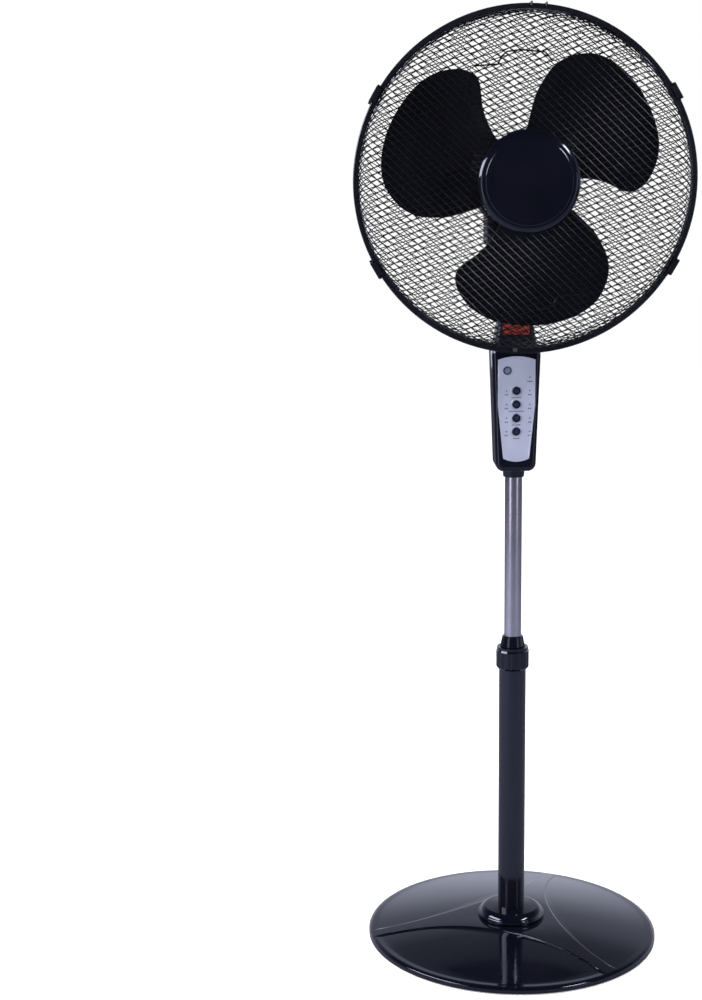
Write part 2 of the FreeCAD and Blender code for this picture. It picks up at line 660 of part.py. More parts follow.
def cord_inlet():
    """Tapered rubber inlet at the lower back of the housing."""
    back = HOUSING_BACK
    profile = turned([
        (CORD_RADIUS, -4.0), (INLET_RADIUS - 1.5, -4.0), (INLET_RADIUS - 1.5, SEAT),
        (INLET_RADIUS, SEAT), (INLET_RADIUS, 3.0), (CORD_RADIUS + 1.4, INLET_LENGTH),
        (CORD_RADIUS, INLET_LENGTH)])
    return profile.rotated(Vector(0, 0, 0), Vector(1, 0, 0), -90).translated(Vector(0, back, INLET_Z))


def mast_socket():
    """Collar under the housing and, through its floor, the sleeve that holds the chrome tube."""
    bore = UPPER_TUBE_RADIUS + SEAT
    top = HOUSING_BOTTOM - SEAT
    inside = HOUSING_BOTTOM + HOUSING_WALL + SEAT
    crown = inside + SOCKET_DEPTH
    return turned([
        (bore, top - SOCKET_RING_HEIGHT), (SOCKET_RADIUS_BOTTOM, top - SOCKET_RING_HEIGHT),
        (SOCKET_RADIUS_TOP, top), (SOCKET_NECK, top), (SOCKET_NECK, inside),
        (SOCKET_RADIUS_TOP, inside), (SOCKET_RADIUS_TOP, crown), (0, crown), (0, crown - SOCKET_CAP),
        (bore, crown - SOCKET_CAP)])


# ================================================================ neck and tilt
COLUMN_BOTTOM = HOUSING_TOP + SEAT
COLUMN_TOP = COLUMN_BOTTOM + COLUMN_HEIGHT
EAR_INNER = COLUMN_HALF_TOP - EAR_THICKNESS
COLUMN_SLOPE = math.degrees(math.atan2(COLUMN_DEPTH_BOTTOM - COLUMN_DEPTH_TOP, COLUMN_HEIGHT))


def rounded_section(half_x, half_y, corner, z):
    """Rounded rectangle as a closed wire at a height."""
    bow = corner * (1.0 - math.sqrt(0.5))
    points = [Vector(-half_x + corner, -half_y, z)]
    for sx, sy in ((1, -1), (1, 1), (-1, 1), (-1, -1)):
        along_x = Vector(sx * (half_x - corner), sy * half_y, z)
        along_y = Vector(sx * half_x, sy * (half_y - corner), z)
        via = Vector(sx * (half_x - bow), sy * (half_y - bow), z)
        first, second = (along_x, along_y) if sx * sy < 0 else (along_y, along_x)
        if (points[-1] if isinstance(points[-1], Vector) else points[-1][1]).isEqual(first, 1e-6):
            points.append((via, second))
        else:
            points += [first, (via, second)]
    return outline(points)


def neck_column():
    """Tapered neck on the housing, with two ears for the tilt bolt."""
    lower = rounded_section(COLUMN_HALF_BOTTOM, COLUMN_DEPTH_BOTTOM, 8.0, COLUMN_BOTTOM)
    upper = rounded_section(COLUMN_HALF_TOP, COLUMN_DEPTH_TOP, 6.0, COLUMN_TOP)
    column = Part.makeLoft([lower, upper], True, True)
    wall = 3.0
    inner_low = rounded_section(COLUMN_HALF_BOTTOM - wall, COLUMN_DEPTH_BOTTOM - wall, 5.0, COLUMN_BOTTOM)
    inner_high = rounded_section(COLUMN_HALF_TOP - wall, COLUMN_DEPTH_TOP - wall, 3.0, COLUMN_TOP - 8.0)
    column = column.cut(Part.makeLoft([inner_low, inner_high], True, True))
    hinge = Vector(0, 0, HINGE_Z)
    for side in (-1, 1):
        x0 = min(side * EAR_INNER, side * COLUMN_HALF_TOP)
        ear = block(x0, x0 + EAR_THICKNESS, -EAR_RADIUS, EAR_RADIUS, COLUMN_TOP - 3.0, HINGE_Z)
        disc = rod(EAR_RADIUS, Vector(x0, 0, HINGE_Z), Vector(x0 + EAR_THICKNESS, 0, HINGE_Z))
        column = column.fuse(ear).fuse(disc)
    bore = TILT_BOLT_RADIUS + SEAT
    return column.cut(rod(bore, hinge - Vector(40, 0, 0), hinge + Vector(40, 0, 0))).removeSplitter()


def neck_label():
    """Plain coloured patch on the sloping front of the neck."""
    share = (LABEL_Z - COLUMN_BOTTOM) / COLUMN_HEIGHT
    face = COLUMN_DEPTH_BOTTOM + (COLUMN_DEPTH_TOP - COLUMN_DEPTH_BOTTOM) * share
    patch = block(-LABEL_HALF, LABEL_HALF, -face - LABEL_THICKNESS - SEAT, -face - SEAT,
                  LABEL_Z - LABEL_HEIGHT / 2, LABEL_Z + LABEL_HEIGHT / 2)
    patch = patch.makeFillet(2.0, [e for e in patch.Edges if abs(e.Vertexes[0].Y - e.Vertexes[1].Y) > 0.1])
    return patch.rotated(Vector(0, -face, LABEL_Z), Vector(1, 0, 0), -COLUMN_SLOPE)


def tilt_bolt():
    """Hexagon-headed bolt through the ears and the yoke."""
    head_x = -COLUMN_HALF_TOP - SEAT
    points = [Vector(head_x, TILT_BOLT_HEAD * math.cos(math.radians(a)),
                     HINGE_Z + TILT_BOLT_HEAD * math.sin(math.radians(a))) for a in around(6)]
    head = Part.Face(Part.makePolygon(points + [points[0]])).extrude(Vector(-5.0, 0, 0))
    return head.fuse(rod(TILT_BOLT_RADIUS, Vector(head_x, 0, HINGE_Z),
                         Vector(COLUMN_HALF_TOP + KNOB_LENGTH - 4.0, 0, HINGE_Z)))


def tilt_knob():
    """Fluted hand knob on the tilt bolt's free end."""
    base = COLUMN_HALF_TOP + FREE
    knob = turned([
        (0, 0), (KNOB_RADIUS - 4.0, 0), (KNOB_RADIUS - 3.0, 3.5), (KNOB_RADIUS, 4.5),
        (KNOB_RADIUS, KNOB_LENGTH - 2.0), (KNOB_RADIUS - 2.0, KNOB_LENGTH), (0, KNOB_LENGTH)])
    knob = knob.cut(rod(TILT_BOLT_RADIUS + RUNNING, Vector(0, 0, -1), Vector(0, 0, KNOB_LENGTH - 3.5)))
    for angle in around(KNOB_FLUTES):
        foot = polar(KNOB_RADIUS + 2.0, angle, 3.6)
        knob = knob.cut(rod(3.4, foot, foot + UP * KNOB_LENGTH))
    return knob.rotated(Vector(0, 0, 0), Vector(0, 1, 0), 90).translated(Vector(base, 0, HINGE_Z))


SOCKET_LOW = HINGE_Z + YOKE_SHOULDER
SOCKET_HIGH = SOCKET_LOW + YOKE_SOCKET_HEIGHT
PIVOT_LOW = SOCKET_HIGH - PIVOT_DEPTH
CASE_LOW = SOCKET_HIGH + SWING_GAP
ARM_TOP = SOCKET_HIGH - ARM_DROP


def tilt_yoke():
    """Tongue on the tilt bolt, and above it the socket of the swing pivot."""
    half = EAR_INNER - FREE
    ends = Vector(-half, 0, HINGE_Z), Vector(half, 0, HINGE_Z)
    yoke = rod(EAR_RADIUS, *ends)
    yoke = yoke.fuse(block(-half, half, -EAR_RADIUS + 2.0, EAR_RADIUS - 2.0, HINGE_Z, SOCKET_LOW + 1.0))
    yoke = yoke.fuse(rod(YOKE_SOCKET_RADIUS, Vector(0, 0, SOCKET_LOW), Vector(0, 0, SOCKET_HIGH)))
    yoke = yoke.cut(rod(TILT_BOLT_RADIUS + RUNNING, *ends))
    bore = rod(PIVOT_RADIUS + BUSH_WALL, Vector(0, 0, PIVOT_LOW - FREE), Vector(0, 0, SOCKET_HIGH + 1))
    return yoke.cut(bore).removeSplitter()


def pivot_bush():
    """Bronze bush in the socket."""
    return pipe(PIVOT_RADIUS + BUSH_WALL - SEAT, PIVOT_RADIUS + RUNNING,
                Vector(0, 0, PIVOT_LOW), Vector(0, 0, SOCKET_HIGH - SEAT))


def swing_arm():
    """Slotted steel arm fixed round the socket; the crank pin pushes against its slot."""
    low = ARM_TOP - ARM_THICKNESS
    far = CRANK_BACK + CRANK_THROW
    near = math.hypot(CRANK_BACK, CRANK_THROW) - 1.5
    half = CRANK_PIN_RADIUS + SLOT_PLAY
    arm = rod(YOKE_SOCKET_RADIUS + 5.0, Vector(0, 0, low), Vector(0, 0, ARM_TOP))
    arm = arm.fuse(block(-half - 4.0, half + 4.0, 0, far + 6.0, low, ARM_TOP))
    arm = arm.cut(rod(YOKE_SOCKET_RADIUS + SEAT, Vector(0, 0, low - 1), Vector(0, 0, ARM_TOP + 1)))
    slot = block(-half, half, near, far, low - 1, ARM_TOP + 1)
    for y in (near, far):
        slot = slot.fuse(rod(half, Vector(0, y, low - 1), Vector(0, y, ARM_TOP + 1)))
    return arm.cut(slot).removeSplitter()


# ================================================================ motor head
def gear_case():
    """Cast case under the motor: holds the swing motor and the swing pivot, saddles the stator."""
    high = AXIS_Z - math.sqrt(SADDLE_RADIUS ** 2 - CASE_HALF ** 2)
    case = block(-CASE_HALF, CASE_HALF, -CASE_FRONT, CASE_BACK, CASE_LOW, high)
    upright = [e for e in case.Edges if abs(e.Vertexes[0].Z - e.Vertexes[1].Z) > 1.0]
    case = case.makeFillet(6.0, upright)
    saddle = rod(SADDLE_RADIUS, Vector(0, -100, AXIS_Z), Vector(0, 100, AXIS_Z))
    case = case.cut(saddle)
    centre = Vector(0, CRANK_BACK, CASE_LOW + CASE_WALL)
    case = case.cut(rod(SWING_MOTOR_RADIUS + SEAT, centre, centre + UP * 60))
    case = case.cut(rod(3.0 + FREE, Vector(0, CRANK_BACK, CASE_LOW - 1), centre + UP))
    case = case.fuse(rod(PIVOT_RADIUS + 5.0, Vector(0, 0, CASE_LOW), Vector(0, 0, CASE_LOW + 20.0)))
    return case.cut(rod(PIVOT_RADIUS + SEAT, Vector(0, 0, CASE_LOW - 1), Vector(0, 0, CASE_LOW + 30)))


def pivot_shaft():
    """Steel swing pivot, fixed in the gear case and turning in the bush."""
    return rod(PIVOT_RADIUS, Vector(0, 0, PIVOT_LOW), Vector(0, 0, CASE_LOW + 19.0))


def swing_motor():
    """Small geared motor that turns the crank: can and output shaft sleeve."""
    low = Vector(0, CRANK_BACK, CASE_LOW + CASE_WALL + SEAT)
    can = rod(SWING_MOTOR_RADIUS, low, low + UP * SWING_MOTOR_HEIGHT)
    can = can.cut(rod(PIVOT_RADIUS + 5.0 + SEAT, Vector(0, 0, CASE_LOW), Vector(0, 0, CASE_LOW + 40)))
    return can.cut(rod(3.0 + RUNNING, low - UP, low + UP * 9.0))


def swing_crank():
    """Crank arm with its shaft up into the swing motor and its pin down into the slot."""
    high = CASE_LOW - 4.0
    low = high - CRANK_THICKNESS
    axis = Vector(0, CRANK_BACK, 0)
    pin = Vector(0, CRANK_BACK + CRANK_THROW, 0)
    crank = rod(6.0, axis + UP * low, axis + UP * high)
    crank = crank.fuse(rod(5.0, pin + UP * low, pin + UP * high))
    crank = crank.fuse(block(-4.0, 4.0, CRANK_BACK, CRANK_BACK + CRANK_THROW, low, high))
    crank = crank.fuse(rod(3.0, axis + UP * low, axis + UP * (CASE_LOW + CASE_WALL + 8.0)))
    return crank.fuse(rod(CRANK_PIN_RADIUS, pin + UP * (ARM_TOP - ARM_THICKNESS - 1.5),
                          pin + UP * high)).removeSplitter()


def bearing_seat(forward):
    """(start, end) of a bearing, by the forward place of its bracket's rear face."""
    return (forward - 2.0, forward - 2.0 + BEARING_WIDTH)


def bracket(rear_face):
    """Profile of a motor end bracket with its bearing seat."""
    start, end = bearing_seat(rear_face)
    face = rear_face + BRACKET_THICKNESS
    return turned([
        (SHAFT_RADIUS + 1.0, end + SEAT), (BEARING_RADIUS + SEAT, end + SEAT),
        (BEARING_RADIUS + SEAT, start - 2.0), (BEARING_RADIUS + 4.0, start - 2.0),
        (BEARING_RADIUS + 4.0, rear_face), (BRACKET_RADIUS, rear_face), (BRACKET_RADIUS, face),
        (BEARING_RADIUS + 4.0, face), (BEARING_RADIUS + 4.0, end + 2.0),
        (SHAFT_RADIUS + 1.0, end + 2.0)])


def motor_front_plate():
    """Front bracket with the threaded collar that the guard nut screws on."""
    face = FRONT_BRACKET + BRACKET_THICKNESS
    collar = turned([(COLLAR_BORE, face - 1.0), (COLLAR_RADIUS, face - 1.0),
                     (COLLAR_RADIUS, face + COLLAR_LENGTH), (COLLAR_BORE, face + COLLAR_LENGTH)])
    return on_fan_axis(bracket(FRONT_BRACKET).fuse(collar).removeSplitter())


def motor_rear_plate():
    """Rear bracket."""
    return on_fan_axis(bracket(REAR_BRACKET))


def motor_stator():
    """Stator stack: a ring with two flats at its sides."""
    front = STATOR_REAR + STATOR_LENGTH
    ring = turned([(STATOR_BORE, STATOR_REAR), (STATOR_RADIUS, STATOR_REAR),
                   (STATOR_RADIUS, front), (STATOR_BORE, front)])
    return on_fan_axis(ring)


def stator_windings():
    """Front and rear end turns of the winding."""
    front = STATOR_REAR + STATOR_LENGTH + SEAT
    rear = STATOR_REAR - SEAT
    mid = 0.5 * (STATOR_BORE + 1.5 + WINDING_RADIUS)
    rings = []
    for start, way in ((front, 1), (rear, -1)):
        far = start + way * WINDING_LENGTH
        shoulder = start + way * (WINDING_LENGTH - 5.0)
        rings.append(on_fan_axis(turned([
            (STATOR_BORE + 1.5, start), (WINDING_RADIUS, start), (WINDING_RADIUS, shoulder),
            ((mid, far), (STATOR_BORE + 1.5, shoulder))])))
    return rings


def motor_bearings():
    """Front and rear bearings."""
    rings = []
    for face in (FRONT_BRACKET, REAR_BRACKET):
        start, end = bearing_seat(face)
        rings.append(on_fan_axis(turned([
            (SHAFT_RADIUS + RUNNING, start), (BEARING_RADIUS, start),
            (BEARING_RADIUS, end), (SHAFT_RADIUS + RUNNING, end)])))
    return rings


def cover_solid(inset):
    """Outside of the motor cover, or the space inside it."""
    radius = COVER_RADIUS - inset
    rear = COVER_REAR + inset
    front = COVER_FRONT
    corner = COVER_CORNER - inset
    bow = corner * (1.0 - math.sqrt(0.5))
    drum = on_fan_axis(turned([
        (0, rear), (radius - corner, rear), ((radius - bow, rear + bow), (radius, rear + corner)),
        (radius, front), (0, front)]))
    low = CASE_LOW + 0.8 - inset
    fairing = block(-FAIRING_HALF + inset, FAIRING_HALF - inset, -FAIRING_FRONT + inset,
                    FAIRING_BACK - inset, low, AXIS_Z - 20.0)
    upright = [e for e in fairing.Edges if abs(e.Vertexes[0].Z - e.Vertexes[1].Z) > 1.0]
    return drum.fuse(fairing.makeFillet(FAIRING_CORNER - inset, upright))


def motor_cover():
    """Rear cover of the motor with a fairing over the gear case and a ring of vents."""
    cover = cover_solid(0.0).cut(cover_solid(COVER_WALL))
    slot = block(VENT_RADIUS, VENT_RADIUS + VENT_LENGTH, -VENT_WIDTH / 2, VENT_WIDTH / 2, -90, -30)
    for angle in around(VENT_COUNT):
        cover = cover.cut(on_fan_axis(slot.rotated(Vector(0, 0, 0), UP, angle)))
    return cover.removeSplitter()


# ================================================================ fan wheel
def blade_height(x, y):
    """Forward place of the blade's mid surface, for a blade that points along +X."""
    pitch = BLADE_PITCH[-1][1]
    for (x0, p0), (x1, p1) in zip(BLADE_PITCH, BLADE_PITCH[1:]):
        if x0 <= x / BLADE_SIZE <= x1:
            pitch = p0 + (p1 - p0) * (x / BLADE_SIZE - x0) / (x1 - x0)
    camber = BLADE_CAMBER * (1.0 - (y / BLADE_HALF_CHORD) ** 2)
    return BLADE_MID + y * math.tan(math.radians(pitch)) - camber


def blade_section(x):
    """Thin closed wire across the blade in an upright plane."""
    stations = [BLADE_HALF_CHORD * (i / 4.0 - 1.0) for i in range(9)]
    half = BLADE_THICKNESS / 2
    low = [Vector(x, y, blade_height(x, y) - half) for y in stations]
    high = [Vector(x, y, blade_height(x, y) + half) for y in reversed(stations)]
    under, over = Part.BSplineCurve(), Part.BSplineCurve()
    under.interpolate(low)
    over.interpolate(high)
    return Part.Wire([under.toShape(), Part.makeLine(low[-1], high[0]),
                      over.toShape(), Part.makeLine(high[-1], low[0])])


def blade_outline():
    """Outline of one blade seen along the axis, as a prism through the slab."""
    trailing = [polar(r * BLADE_SIZE, b, 0) for r, _, b in BLADE_EDGES]
    leading = [polar(r * BLADE_SIZE, a, 0) for r, a, _ in BLADE_EDGES]
    tip = [polar(r * BLADE_SIZE, a, 0) for r, a in BLADE_TIP_ARC]
    rim = Part.BSplineCurve()
    rim.interpolate(leading + tip + list(reversed(trailing)))
    close = Part.makeLine(trailing[0], leading[0])
    face = Part.Face(Part.Wire([rim.toShape(), close]))
    return face.extrude(UP * 120).translated(UP * (BLADE_MID - 60))


def fan_blade():
    """Three wide petal blades on a cup-shaped hub, moulded in one."""
    slab = Part.makeLoft([blade_section(r * BLADE_SIZE) for r, _ in BLADE_PITCH], True, False)
    petal = slab.common(blade_outline())
    hub = turned([
        (SHAFT_RADIUS + SEAT, HUB_REAR), (SHAFT_RADIUS + 5.0, HUB_REAR),
        (SHAFT_RADIUS + 5.0, HUB_FRONT - HUB_WALL), (HUB_RADIUS - HUB_WALL, HUB_FRONT - HUB_WALL),
        (HUB_RADIUS - HUB_WALL, HUB_REAR), (HUB_RADIUS, HUB_REAR), (HUB_RADIUS, HUB_FRONT - 4.0),
        (HUB_RADIUS - 4.0, HUB_FRONT), (SHAFT_RADIUS + SEAT, HUB_FRONT)])
    inside = Part.makeCylinder(HUB_RADIUS - HUB_WALL / 2, 200)
    petal = petal.cut(inside)
    wheel = hub
    for angle in around(BLADE_COUNT, BLADE_REFERENCE):
        wheel = wheel.fuse(petal.rotated(Vector(0, 0, 0), UP, angle))
    return on_fan_axis(wheel)


def blade_nut():
    """Domed nut that holds the blades on the shaft."""
    rear = HUB_FRONT + SEAT
    bore = SHAFT_RADIUS + SEAT
    return on_fan_axis(turned([
        (bore, rear), (SPINNER_RADIUS, rear), (SPINNER_RADIUS, rear + 6.0),
        cap(SPINNER_RADIUS, rear + 6.0, SPINNER_FRONT),
        (0, SHAFT_FRONT + SEAT), (bore, SHAFT_FRONT + SEAT)]))


def motor_shaft():
    """Steel shaft from the rear bearing to the blade nut."""
    start, _ = bearing_seat(REAR_BRACKET)
    return on_fan_axis(Part.makeCylinder(SHAFT_RADIUS, SHAFT_FRONT - start + 3.0, Vector(0, 0, start - 3.0)))


def rotor_core():
    """Rotor stack on the shaft."""
    return on_fan_axis(turned([
        (SHAFT_RADIUS + SEAT, STATOR_REAR), (ROTOR_RADIUS, STATOR_REAR),
        (ROTOR_RADIUS, STATOR_REAR + STATOR_LENGTH), (SHAFT_RADIUS + SEAT, STATOR_REAR + STATOR_LENGTH)]))


# ================================================================ guard
def bead(front):
    """(start, end) of a guard's rim bead inside the hoop, front or rear."""
    inner = HOOP_HALF_WIDTH - HOOP_WALL - SEAT
    return (RING_FORWARD + SEAT, RING_FORWARD + inner) if front else (
        RING_FORWARD - inner, RING_FORWARD - SEAT)


def guard_skin(front):
    """One domed half of the cage with its rim bead: a thin skin that holds the fine mesh's place."""
    start, end = bead(front)
    rim = HOOP_LIP - 0.8
    outer = HOOP_RADIUS - HOOP_WALL - SEAT
    t = MESH_THICKNESS
    edge = end if front else start
    flip = 1.0 if front else -1.0
    shoulder_r, shoulder = FRONT_SHOULDER if front else REAR_SHOULDER
    centre_r, centre = FRONT_CENTRE if front else REAR_CENTRE
    bulge_r, bulge = rim - 3.0, edge + (shoulder - edge) * 0.62
    mid_r = 0.5 * (shoulder_r + centre_r)
    mid = shoulder + (centre - shoulder) * 0.63
    skin = turned([
        (rim, edge - flip * 1.0), ((bulge_r, bulge), (shoulder_r, shoulder)),
        ((mid_r, mid), (centre_r, centre)), (centre_r, centre - flip * t),
        ((mid_r, mid - flip * t), (shoulder_r - 0.5 * t, shoulder - flip * t)),
        ((bulge_r - t, bulge - flip * 0.4 * t), (rim - t, edge - flip * 1.0))])
    ring = turned([(BEAD_RADIUS, start), (outer, start), (outer, end), (BEAD_RADIUS, end)])
    return on_fan_axis(skin.fuse(ring).removeSplitter())


def hoop_screw_hole(radius):
    """Bar along the hoop screw, for holes in what it passes through."""
    place = 0.5 * (BEAD_RADIUS + HOOP_RADIUS - HOOP_WALL)
    return rod(radius, on_ring(HOOP_SCREW_ANGLE, place, RING_FORWARD - 30),
               on_ring(HOOP_SCREW_ANGLE, place, RING_FORWARD + 30))


def front_guard():
    """Front half of the cage."""
    return guard_skin(True).cut(hoop_screw_hole(HOOP_SCREW_RADIUS + SEAT))


def rear_guard():
    """Rear half of the cage."""
    return guard_skin(False).cut(hoop_screw_hole(HOOP_SCREW_RADIUS + SEAT))


def guard_hoop():
    """Channel hoop that holds the rims of both halves together."""
    low = RING_FORWARD - HOOP_HALF_WIDTH
    high = RING_FORWARD + HOOP_HALF_WIDTH
    w = HOOP_WALL
    hoop = turned([
        (HOOP_LIP, low), (HOOP_RADIUS - 1.0, low), (HOOP_RADIUS, low + 1.0), (HOOP_RADIUS, high - 1.0),
        (HOOP_RADIUS - 1.0, high), (HOOP_LIP, high), (HOOP_LIP, high - w), (HOOP_RADIUS - w, high - w),
        (HOOP_RADIUS - w, low + w), (HOOP_LIP, low + w)])
    return on_fan_axis(hoop).cut(hoop_screw_hole(HOOP_SCREW_RADIUS + SEAT))


def hoop_screw():
    """Bright screw through the bottom of the hoop, with its nut behind."""
    place = 0.5 * (BEAD_RADIUS + HOOP_RADIUS - HOOP_WALL)
    face = RING_FORWARD + HOOP_HALF_WIDTH + SEAT
    back = RING_FORWARD - HOOP_HALF_WIDTH - SEAT

    def at(forward):
        return on_ring(HOOP_SCREW_ANGLE, place, forward)

    head = rod(2.9, at(face), at(face + 1.8))
    head = head.cut(block(-20, 0, -face - 4, -face - 1.0, at(0).z - 0.4, at(0).z + 0.4))
    screw = head.fuse(rod(HOOP_SCREW_RADIUS, at(back - 4.0), at(face))).removeSplitter()
    nut = rod(3.1, at(back - 2.6), at(back)).cut(rod(HOOP_SCREW_RADIUS + SEAT, at(back - 5), at(back + 1)))
    return [screw, nut]


def top_hook():
    """Two bright wire hooks over the top of the hoop."""
    hooks = []
    r = HOOK_WIRE_RADIUS
    over = HOOP_RADIUS + r + SEAT
    front = RING_FORWARD + HOOP_HALF_WIDTH + r + SEAT
    back = RING_FORWARD - HOOP_HALF_WIDTH - r - SEAT
    for angle in HOOK_ANGLES:
        path = [on_ring(angle, HOOP_RADIUS - 5.0, back), on_ring(angle, over, back),
                on_ring(angle, over, front), on_ring(angle, HOOP_RADIUS - 3.0, front)]
        hook = rod(r, path[0], path[1])
        for a, b in zip(path[1:], path[2:]):
            hook = hook.fuse(rod(r, a, b)).fuse(Part.makeSphere(r, a))
        hooks.append(hook)
    return hooks


def rear_guard_plate():
    """Round plate in the middle of the rear guard, clamped by the guard nut."""
    rear = FRONT_BRACKET + BRACKET_THICKNESS + SEAT
    inner = COLLAR_RADIUS + FREE
    front = rear + PLATE_THICKNESS
    step = REAR_CENTRE[1] - MESH_THICKNESS - SEAT
    return on_fan_axis(turned([
        (inner, rear), (REAR_CENTRE[0] - 10, rear), (REAR_CENTRE[0] - 6, step - PLATE_THICKNESS),
        (PLATE_RADIUS, step - PLATE_THICKNESS), (PLATE_RADIUS, step - 1.2),
        (REAR_CENTRE[0] - 7, step - 1.2), (REAR_CENTRE[0] - 10.5, front), (inner, front)]))


def guard_nut():
    """Plastic ring nut with finger grips that clamps the rear guard to the motor."""
    rear = FRONT_BRACKET + BRACKET_THICKNESS + PLATE_THICKNESS + 2 * SEAT
    bore = COLLAR_RADIUS + SEAT
    nut = turned([
        (bore, rear), (GUARD_NUT_RADIUS, rear), (GUARD_NUT_RADIUS, rear + 5.0),
        (GUARD_NUT_RADIUS - 2.0, rear + GUARD_NUT_THICKNESS), (bore, rear + GUARD_NUT_THICKNESS)])
    for angle in around(GUARD_NUT_GRIPS):
        foot = polar(GUARD_NUT_RADIUS + 8.0, angle, 0)
        nut = nut.cut(rod(11.0, foot, foot + UP * 200))
    return on_fan_axis(nut)


def front_badge():
    """Plain bevelled cap in the middle of the front guard."""
    rim_rear = FRONT_CENTRE[1] + SEAT + 0.2
    w = BADGE_WALL
    return on_fan_axis(turned([
        (0, BADGE_FRONT - w), (BADGE_FACE_RADIUS - 1.0, BADGE_FRONT - w - 0.8),
        (BADGE_RADIUS - w - 0.6, rim_rear + 1.6), (BADGE_RADIUS - w - 0.6, rim_rear),
        (BADGE_RADIUS, rim_rear), (BADGE_RADIUS, rim_rear + 3.2),
        ((BADGE_RADIUS - 1.8, rim_rear + 6.0), (BADGE_FACE_RADIUS + 1.5, BADGE_FRONT - 1.6)),
        ((BADGE_FACE_RADIUS + 0.4, BADGE_FRONT - 0.9), (BADGE_FACE_RADIUS, BADGE_FRONT - 0.9)),
        cap(BADGE_FACE_RADIUS, BADGE_FRONT - 0.9, BADGE_FRONT)]))


def badge_backing():
    """Ring behind the mesh that the badge is held to."""
    front = FRONT_CENTRE[1] - MESH_THICKNESS - 0.9
    return on_fan_axis(turned([
        (30.0, front - BACKING_THICKNESS), (BACKING_RADIUS, front - BACKING_THICKNESS),
        (BACKING_RADIUS, front), (30.0, front)]))


# ================================================================ rim clips
CLIP_PIN_FORWARD = RING_FORWARD - HOOP_HALF_WIDTH - 5.5
CLIP_PIN_PLACE = HOOP_RADIUS + 0.6


def clip_frame(angle):
    """Placement whose X is radial, Y tangential and Z forward, with its origin on the fan's axis."""
    turn = Rotation(UP, angle)
    return fan_placement().multiply(Placement(Vector(0, 0, 0), turn))


def placed(shape, angle):
    """Put a clip piece at its place round the guard."""
    moved = shape.copy()
    moved.Placement = clip_frame(angle).multiply(moved.Placement)
    return moved


def rim_clip(angle):
    """Clip that swings over the hoop; its hook lies in front of the hoop's face."""
    half = CLIP_LENGTH / 2
    under = HOOP_RADIUS + FREE + 0.1
    over = under + CLIP_THICKNESS
    front = RING_FORWARD + HOOP_HALF_WIDTH + FREE
    plate = block(under, over, -half, half, CLIP_PIN_FORWARD, front + 2.4)
    plate = plate.makeFillet(1.0, [e for e in plate.Edges
                                   if e.Vertexes[0].X > over - 0.1 and e.Vertexes[1].X > over - 0.1])
    hook = block(HOOP_RADIUS - 4.5, over - 1.2, -half + 2.0, half - 2.0, front, front + 2.4)
    pin_a = Vector(CLIP_PIN_PLACE, -half, CLIP_PIN_FORWARD)
    pin_b = Vector(CLIP_PIN_PLACE, half, CLIP_PIN_FORWARD)
    clip = plate.fuse(hook).fuse(rod(CLIP_BARREL_RADIUS, pin_a, pin_b))
    clip = clip.cut(rod(CLIP_PIN_RADIUS + RUNNING, pin_a, pin_b)).removeSplitter()
    return placed(clip, angle)


def clip_bracket(angle):
    """Bracket behind the hoop with two ears and the clip's pin."""
    half = CLIP_LENGTH / 2 + FREE
    back = CLIP_PIN_FORWARD - CLIP_BARREL_RADIUS
    hoop = RING_FORWARD - HOOP_HALF_WIDTH - SEAT
    base = block(HOOP_LIP + 0.5, HOOP_RADIUS - CLIP_BARREL_RADIUS - 0.2, -half - 2, half + 2, back, hoop)
    for y in (-half - 2.0, half):
        base = base.fuse(block(HOOP_LIP + 0.5, CLIP_PIN_PLACE + 2.4, y, y + 2.0, back, hoop - 0.4))
    pin = rod(CLIP_PIN_RADIUS, Vector(CLIP_PIN_PLACE, -half - 1, CLIP_PIN_FORWARD),
              Vector(CLIP_PIN_PLACE, half + 1, CLIP_PIN_FORWARD))
    return placed(base.fuse(pin).removeSplitter(), angle)


# ================================================================ assembly
def main():
    """Build and write every node."""
    os.makedirs(OUT, exist_ok=True)
    for build in (base_cover, base_weight, base_feet, base_bolt, tube_foot, pole_flange, lower_tube,
                  clamp_collet, lock_nut, upper_tube, tube_end_plug, mast_socket, housing_front,
                  housing_rear, housing_screws, panel_plate, ir_window, control_board,
                  indicator_leds, run_capacitor, cord_inlet, neck_column, neck_label, tilt_bolt,
                  tilt_knob, tilt_yoke, pivot_bush, swing_arm, gear_case, pivot_shaft, swing_motor,
                  swing_crank, motor_front_plate, motor_rear_plate, motor_stator, stator_windings,
                  motor_bearings, motor_cover, fan_blade, blade_nut, motor_shaft, rotor_core,
                  front_guard, rear_guard, guard_hoop, hoop_screw, top_hook, rear_guard_plate,
                  guard_nut, front_badge, badge_backing):
        write(build.__name__, build())
    for number, z in enumerate(BUTTON_HEIGHTS, 1):
        write("button_%d" % number, button(z))
    for number, angle in enumerate(CLIP_ANGLES, 1):
        write("rim_clip_%d" % number, rim_clip(angle))
    write("clip_brackets", [clip_bracket(angle) for angle in CLIP_ANGLES])


main()
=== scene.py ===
import logging
import math
from collections.abc import Callable, Sequence
from dataclasses import dataclass, field
from enum import Enum

import bmesh
import bpy
from mathutils import Matrix, Quaternion, Vector


